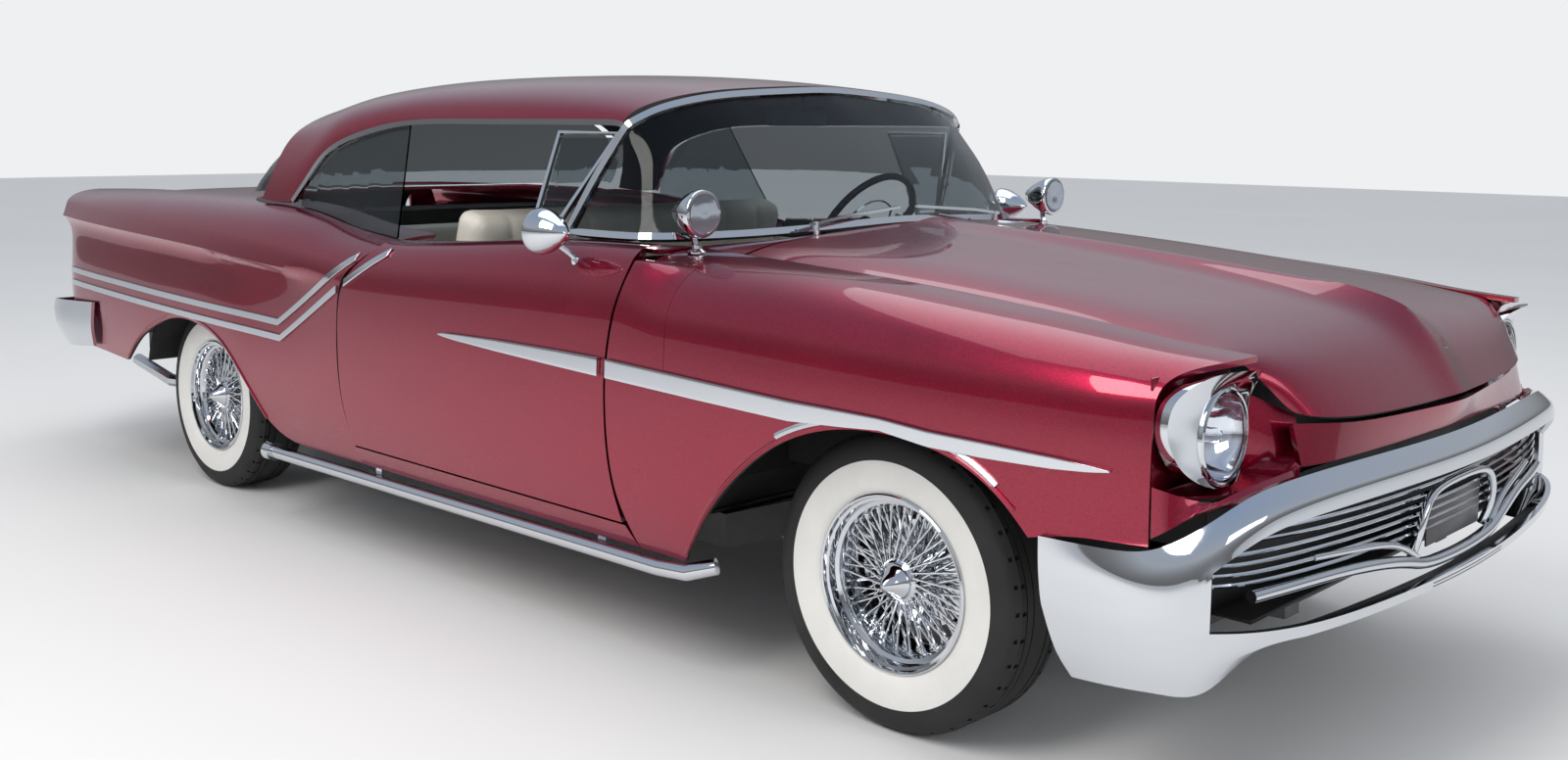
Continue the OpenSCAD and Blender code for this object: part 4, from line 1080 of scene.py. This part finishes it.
def swell(obj):
    """Blows a pad up as cloth, no point by more than PAD_SWELL."""
    before = [v.co.copy() for v in obj.data.vertices]
    cloth = obj.modifiers.new("Cloth", "CLOTH")
    cloth.settings.use_pressure = True
    cloth.settings.uniform_pressure_force = 4
    cloth.settings.effector_weights.gravity = 0
    cloth.point_cache.frame_start = 1
    cloth.point_cache.frame_end = PAD_FRAMES
    scene = bpy.context.scene
    for step in range(1, PAD_FRAMES + 1):
        scene.frame_set(step)
    apply_all(obj)
    for vertex, start in zip(obj.data.vertices, before):
        move = vertex.co - start
        if move.length > PAD_SWELL:
            vertex.co = start + move * (PAD_SWELL / move.length)
    scene.frame_set(1)


def pad(low, high, name, replaces, turn=0.0, pivot=(0, 0, 0), channels=9):
    """A stuffed seat pad with sewn channels across its front."""
    low, high = Vector(low), Vector(high)
    size = high - low
    deselect()
    bpy.ops.mesh.primitive_cube_add(size=1, location=(low + high) / 2)
    obj = bpy.context.object
    obj.scale = size - 2 * Vector((PAD_SWELL, PAD_SWELL, PAD_SWELL))
    settle(obj)
    add_modifier(obj, "BEVEL", width=min(obj.dimensions) * 0.32, segments=4)
    add_modifier(obj, "REMESH", mode="VOXEL", voxel_size=PAD_VOXEL)
    apply_all(obj)
    swell(obj)
    flat = 2 if size.z < size.y else 1
    for vertex in obj.data.vertices:
        along = (vertex.co.x - low.x) / size.x
        height = (vertex.co[flat] - low[flat]) / size[flat]
        if (height if flat == 2 else 1 - height) > 0.5:
            dip = CHANNEL_DEPTH * (1 - abs(sin(pi * along * channels))) ** 3
            vertex.co[flat] += -dip if flat == 2 else dip
    if turn:
        edit(obj)
        bpy.ops.transform.rotate(value=-turn, orient_axis="X", center_override=pivot)
        to_object_mode()
    subdivided(obj, 1)
    smooth(obj, 60)
    finish_piece(obj, name, "body", "white_vinyl", (replaces,))
    return obj


class COUPE_OT_seats(bpy.types.Operator):
    """Stuffs the front and rear bench seats and pipes the front edge"""

    bl_idname = "coupe.seats"
    bl_label = "Seats"

    def execute(self, context):
        cushion = pad((-0.698, -0.418, 0.4305), (0.698, 0.148, 0.558), "front_cushion", "front_seat")
        pad((-0.698, 0.1385, 0.474), (0.698, 0.2865, 1.07), "front_backrest", "front_seat",
            turn=radians(16), pivot=(0, 0.1374, 0.472))
        pad((-0.588, 0.642, 0.5625), (0.588, 1.036, 0.678), "rear_cushion", "rear_seat", channels=7)
        pad((-0.588, 1.043, 0.5635), (0.588, 1.168, 0.958), "rear_backrest", "rear_seat", channels=7)
        starts = [(-0.655 + 1.31 * t, -0.372 + 0.05 * abs(2 * t - 1) ** 8, 0.8)
                  for t in (n / 96 for n in range(97))]
        outline = landed(cushion, starts, (0, 0, -1), (0, 0, 0.0012))
        finish_piece(cable(outline, 0.0045, rounds=0), "front_cushion_piping", "body",
                     "dark_vinyl")
        return {"FINISHED"}


LOUVRES_A_SIDE = 9
LOUVRE_PITCH = 0.058
LOUVRE_ENDS = ((-0.02, 0.004), (0.0, 0.0), (0.02, 0.004))


class COUPE_OT_louvres(bpy.types.Operator):
    """Cuts the look of air slots into the cowl ahead of the windshield"""

    bl_idname = "coupe.louvres"
    bl_label = "Cowl louvres"

    def execute(self, context):
        lines = []
        for n in range(-LOUVRES_A_SIDE, LOUVRES_A_SIDE + 1):
            x = n * LOUVRE_PITCH
            y = -1.12 + 0.055 * (x / 0.52) ** 2
            starts = [(x + dx, y + dy, 1.6) for dx, dy in LOUVRE_ENDS]
            ends = landed(SKINS["cowl"], starts, (0, 0, -1), (0, 0, 0.0004))
            if len(ends) == len(LOUVRE_ENDS):
                lines.append(cable(ends, 0.003))
        if not lines:
            raise RuntimeError("the cowl has no room for its louvres")
        plated(join(lines), "cowl_louvres")
        return {"FINISHED"}


class COUPE_OT_cabin(bpy.types.Operator):
    """Fits the dashboard's details, the inside mirror, the door cards and the horn ring"""

    bl_idname = "coupe.cabin"
    bl_label = "Cabin"

    def execute(self, context):
        self.steering()
        self.dashboard()
        for side, word in SIDES:
            self.door_card(side, word)
        return {"FINISHED"}

    def steering(self):
        wheel = skin("steering_wheel", "wheel_plastic", 0, 40)
        centre, tilt = (0.37, -0.64, 0.985), radians(60)
        for name, profile, steps in (
                ("horn_button", [(0.0265, NEAR_AXIS), (0.0265, 0.04), (0.031, 0.038),
                                 (0.036, 0.028), (0.039, 0.012), (0.04, NEAR_AXIS)], 36),
                ("horn_ring", [(0.006, 0.11), (0.01, 0.1065), (0.014, 0.11), (0.01, 0.1135)], 64)):
            plated(lathe(profile, centre, (0, sin(tilt), cos(tilt)), steps), name,
                   "steering_wheel_assembly")

    def dashboard(self):
        for name, x, radius in (("speedometer", 0.37, 0.075), ("clock", -0.3, 0.048)):
            dial = lathe([(-0.002, NEAR_AXIS), (-0.002, radius), (0.004, radius + 0.006),
                          (0.011, radius + 0.004), (0.011, radius - 0.002),
                          (0.005, radius - 0.006), (0.005, NEAR_AXIS)],
                         (x, -0.7445, 0.893), (0, 0.97, 0.24), 48)
            plated(dial, name + "_bezel")
        grille = block((-0.16, -0.752, 0.868), (0.16, -0.739, 0.912), 0.004)
        finish_piece(grille, "radio_panel", "body", "brushed_steel")
        plated(block((-0.735, -0.756, 0.9385), (0.735, -0.744, 0.9465), 0.003), "dash_rail")
        stem = cable([(0, -0.7, 1.428), (0, -0.69, 1.385), (0, -0.672, 1.35)], 0.006)
        glass = block((-0.125, -0.682, 1.318), (0.125, -0.664, 1.372), 0.008, 3)
        finish_piece(join([stem, glass]), "inside_mirror", "body", "dark_vinyl")

    def door_card(self, side, word):
        """The padded card on a door's inside, with its strips, armrest and pull."""
        def inward(depth):
            return side * DOOR_INSIDE_X - side * depth

        body = word + "_door_assembly"
        card = block((side * DOOR_INSIDE_X, -0.86, 0.4), (inward(0.012), 0.2, 0.9), 0.006)
        finish_piece(card, word + "_door_card", body, "white_vinyl")
        for n in range(3):
            z = 0.5 + 0.06 * n
            strip = block((inward(0.016), -0.84, z), (inward(0.01), 0.18, z + 0.008), 0.002)
            plated(strip, "%s_card_strip_%d" % (word, n), body)
        rest = block((inward(0.01), -0.46, 0.69), (inward(0.06), -0.08, 0.725), 0.014, 3)
        finish_piece(rest, word + "_armrest", body, "white_vinyl")
        handle = lathe([(0.0, NEAR_AXIS), (0.0, 0.018), (0.006, 0.018), (0.01, 0.011),
                        (0.028, 0.01), (0.03, NEAR_AXIS)],
                       (inward(0.011), -0.56, 0.7), (-side, 0, 0), 24)
        lever = block((inward(0.03), -0.66, 0.694), (inward(0.04), -0.55, 0.706), 0.003)
        plated(join([handle, lever]), word + "_door_pull", body)


# ---- Engine bay ----

CARBURETTOR_Y = -1.66
FAN_Y, FAN_Z = -2.148, 0.62
FAN_BLADES = 5


def lean(part, side):
    """Leans one bank of the engine outwards."""
    edit(part)
    bpy.ops.transform.rotate(value=side * radians(-14), orient_axis="Y",
                             center_override=(0, -1.7, 0.45))
    to_object_mode()


class COUPE_OT_engine_bay(bpy.types.Operator):
    """Puts the valve covers, the air cleaner, the fan and the radiator round the engine"""

    bl_idname = "coupe.engine_bay"
    bl_label = "Engine bay"

    def execute(self, context):
        parts = [block((-0.17, -2.1, 0.375), (0.17, -1.27, 0.66), 0.02, 3),
                 block((-0.13, -2.0, 0.3735), (0.13, -1.4, 0.42), 0.02, 3),
                 block((-0.1, -2.04, 0.655), (0.1, -1.34, 0.83), 0.02, 3),
                 lathe([(0, NEAR_AXIS), (0, 0.075), (0.03, 0.07), (0.045, 0.055), (0.06, 0.055),
                        (0.06, NEAR_AXIS)], (0, CARBURETTOR_Y, 0.822), (0, 0, 1)),
                 lathe([(0, NEAR_AXIS), (0, 0.165), (0.02, 0.17), (0.06, 0.16), (0.1, 0.12),
                        (0.1, NEAR_AXIS)], (0, -1.362, 0.55), (0, 1, 0), 48)]
        for side, word in SIDES:
            bank = block((side * 0.055, -2.03, 0.58), (side * 0.205, -1.34, 0.8), 0.016, 3)
            lean(bank, side)
            parts.append(bank)
            for n in range(4):
                y = -1.93 + 0.165 * n
                parts.append(cable([(side * 0.215, y, 0.69), (side * 0.242, y, 0.675),
                                    (side * 0.244, y + 0.02, 0.61)], 0.019, 12, rounds=2))
            parts.append(cable([(side * 0.228, y, 0.592) for y in (-1.97, -1.8, -1.6, -1.4, -1.36)],
                               0.021, 12))
            cover = block((side * 0.066, -2.02, 0.795), (side * 0.194, -1.35, 0.85), 0.022, 4)
            lean(cover, side)
            plated(cover, word + "_valve_cover")
        parts.append(lathe([(0, NEAR_AXIS), (0, 0.085), (0.008, 0.085), (0.014, 0.074),
                            (0.02, 0.085), (0.028, 0.085), (0.028, 0.03), (0.034, NEAR_AXIS)],
                           (0, -2.088, 0.47), (0, -1, 0)))
        finish_piece(join(parts), "engine_castings", "body", "engine_enamel",
                     ("engine_block",))
        cleaner = lathe([(0.0, NEAR_AXIS), (0.0, 0.14), (0.01, 0.152), (0.046, 0.152),
                         (0.052, 0.146), (0.056, 0.06), (0.06, NEAR_AXIS)],
                        (0, CARBURETTOR_Y, 0.88), (0, 0, 1), 64)
        plated(cleaner, "air_cleaner")
        nut = lathe([(0.0, NEAR_AXIS), (0.0, 0.012), (0.01, 0.013), (0.016, 0.006),
                     (0.016, NEAR_AXIS)], (0, CARBURETTOR_Y, 0.939), (0, 0, 1), 6)
        finish_piece(nut, "cleaner_nut", "body", "brushed_steel")
        radiator = block((-0.34, -2.29, 0.42), (0.34, -2.235, 0.865), 0.008)
        finish_piece(radiator, "radiator", "body", "frame_black")
        fan = [lathe([(0.0, NEAR_AXIS), (0.0, 0.05), (0.04, 0.045), (0.05, NEAR_AXIS)],
                     (0, -2.112, 0.62), (0, -1, 0), 24)]
        for n in range(FAN_BLADES):
            blade = block((-0.045, -2.15, 0.66), (0.045, -2.146, 0.84), 0.0015)
            edit(blade)
            for angle, axis in ((radians(-22), "Z"), (2 * pi * n / FAN_BLADES, "Y")):
                bpy.ops.transform.rotate(value=angle, orient_axis=axis,
                                         center_override=(0, FAN_Y, FAN_Z))
            to_object_mode()
            fan.append(blade)
        finish_piece(join(fan), "cooling_fan", "body", "brushed_steel")
        battery = block((0.29, -2.16, 0.6), (0.44, -1.93, 0.8), 0.008)
        finish_piece(battery, "battery", "body", "dark_vinyl")
        return {"FINISHED"}


# ---- Stage ----

SKY = ((0.0, (0.3, 0.3, 0.31, 1)), (0.1, (0.42, 0.43, 0.45, 1)), (0.3, (0.8, 0.86, 0.95, 1)),
       (0.9, (0.62, 0.76, 1.0, 1)))
CAMERA_PLACE = (-3.366, -3.74, 1.329)
CAMERA_TURN = (radians(-45.411), radians(4.987), radians(0.541))
CAMERA_SHIFT = (0.0311, -0.08)


class COUPE_OT_stage(bpy.types.Operator):
    """Sets the pale floor, the soft lights, the world and the camera"""

    bl_idname = "coupe.stage"
    bl_label = "Stage"

    def execute(self, context):
        self.floor(context.scene)
        self.world(context.scene)
        self.lamp("key_lamp", (-5.5, -1.5, 6.0), (0, -0.3, 0.8), (2.2, 5.0), 260, (1, 0.97, 0.93))
        self.lamp("top_lamp", (1.5, 0.5, 6.5), (0, 0, 0.8), (4.0, 8.0), 110, (1, 1, 1))
        self.lamp("front_lamp", (-1.5, -8.0, 3.2), (0, -2.0, 0.6), (5.0, 2.0), 70, (0.93, 0.96, 1))
        self.camera(context.scene)
        context.scene.view_settings.view_transform = "Standard"
        return {"FINISHED"}

    def floor(self, scene):
        tone = scene.coupe_stage.floor_tone
        tree, paper = shader("floor_paper", Roughness=0.7)
        tinted(tree, paper, (tone, tone, tone, 1), (tone * 0.97, tone * 0.97, tone * 0.965, 1), 0.4)
        deselect()
        bpy.ops.mesh.primitive_plane_add(size=60, location=(0, 0, 0))
        floor = bpy.context.object
        floor.name = "floor"
        floor.data.materials.append(MATERIALS["floor_paper"])

    def world(self, scene):
        """The camera sees a pale backdrop, matt surfaces an even white, gloss and glass a sky."""
        scene.world = bpy.data.worlds.new("studio_world")
        scene.world.use_nodes = True
        tree = scene.world.node_tree
        where = place(tree, "ShaderNodeTexCoord")
        split = place(tree, "ShaderNodeSeparateXYZ", [(0, where.outputs["Generated"])])
        sky = place(tree, "ShaderNodeValToRGB", [("Fac", split.outputs["Z"])])
        for at, colour in SKY:
            stops = sky.color_ramp.elements
            stop = stops[0] if at == 0.0 else stops.new(at)
            stop.color = colour
        sky.color_ramp.elements[-1].color = (0.55, 0.72, 1.0, 1)
        soft = tree.nodes["Background"]
        tree.links.new(sky.outputs["Color"], soft.inputs["Color"])
        soft.inputs["Strength"].default_value = scene.coupe_stage.world_level
        seen = place(tree, "ShaderNodeBackground", [("Color", (0.86, 0.87, 0.88, 1))])
        even = place(tree, "ShaderNodeBackground", [
            ("Color", (0.95, 0.97, 1.0, 1)), ("Strength", scene.coupe_stage.fill_level)])
        path = place(tree, "ShaderNodeLightPath")
        matt = place(tree, "ShaderNodeMixShader", [
            ("Fac", path.outputs["Is Diffuse Ray"]), (1, soft.outputs[0]), (2, even.outputs[0])])
        choose = place(tree, "ShaderNodeMixShader", [
            ("Fac", path.outputs["Is Camera Ray"]), (1, matt.outputs[0]), (2, seen.outputs[0])])
        tree.links.new(choose.outputs[0], tree.nodes["World Output"].inputs["Surface"])

    def lamp(self, name, at, target, size, power, colour):
        """A soft rectangular lamp aimed at a point."""
        data = bpy.data.lights.new(name, "AREA")
        data.shape = "RECTANGLE"
        data.size, data.size_y = size
        data.energy = power
        data.color = colour
        obj = bpy.data.objects.new(name, data)
        obj.location = at
        obj.rotation_euler = (Vector(target) - Vector(at)).to_track_quat("-Z", "Y").to_euler()
        bpy.context.scene.collection.objects.link(obj)

    def camera(self, scene):
        data = bpy.data.cameras.new("camera")
        data.lens = scene.coupe_stage.lens
        data.sensor_width = 36
        data.shift_x, data.shift_y = CAMERA_SHIFT
        data.clip_end = 200
        camera = bpy.data.objects.new("camera", data)
        azimuth, height, roll = CAMERA_TURN
        back = Vector((sin(azimuth) * cos(height), -cos(azimuth) * cos(height), sin(height)))
        right = (-back).cross(Vector((0, 0, 1))).normalized()
        up = right.cross(-back)
        turn = Matrix((right * cos(roll) + up * sin(roll), up * cos(roll) - right * sin(roll), back))
        camera.matrix_world = Matrix.Translation(CAMERA_PLACE) @ turn.transposed().to_4x4()
        scene.collection.objects.link(camera)
        scene.camera = camera


# ---- The add-on ----

GROUPS = {"coupe_finish": CoupeFinish, "coupe_wheels": CoupeWheels, "coupe_trim": CoupeTrim,
          "coupe_stage": CoupeStage}
OPERATORS = (
    COUPE_OT_finishes, COUPE_OT_panels, COUPE_OT_plating, COUPE_OT_glazing, COUPE_OT_tyres,
    COUPE_OT_wire_wheels, COUPE_OT_side_trim, COUPE_OT_cowl_sides, COUPE_OT_nose, COUPE_OT_lamps,
    COUPE_OT_mirrors, COUPE_OT_louvres, COUPE_OT_seats, COUPE_OT_cabin, COUPE_OT_engine_bay,
    COUPE_OT_stage)
STEPS = ("finishes", "panels", "plating", "glazing", "tyres", "wire_wheels", "side_trim",
         "cowl_sides", "nose", "lamps", "mirrors", "louvres", "seats", "cabin", "engine_bay", "stage")


class COUPE_PT_sidebar(bpy.types.Panel):
    """Lists the car's settings and its building steps"""

    bl_idname = "COUPE_PT_sidebar"
    bl_label = "Hardtop Coupe"
    bl_space_type = "VIEW_3D"
    bl_region_type = "UI"
    bl_category = "Coupe"

    def draw(self, context):
        layout = self.layout
        for group in GROUPS:
            values = getattr(context.scene, group)
            for name in values.bl_rna.properties.keys():
                if name not in ("rna_type", "name"):
                    layout.prop(values, name)
        for step in STEPS:
            layout.operator("coupe." + step)


def register():
    for cls in (*GROUPS.values(), *OPERATORS, COUPE_PT_sidebar):
        bpy.utils.register_class(cls)
    for name, cls in GROUPS.items():
        setattr(bpy.types.Scene, name, PointerProperty(type=cls))


def unregister():
    for name in GROUPS:
        delattr(bpy.types.Scene, name)
    for cls in (COUPE_PT_sidebar, *reversed(OPERATORS), *GROUPS.values()):
        bpy.utils.unregister_class(cls)


def main():
    register()
    deselect()
    for step in STEPS:
        getattr(bpy.ops.coupe, step)()


if __name__ == "__main__":
    main()
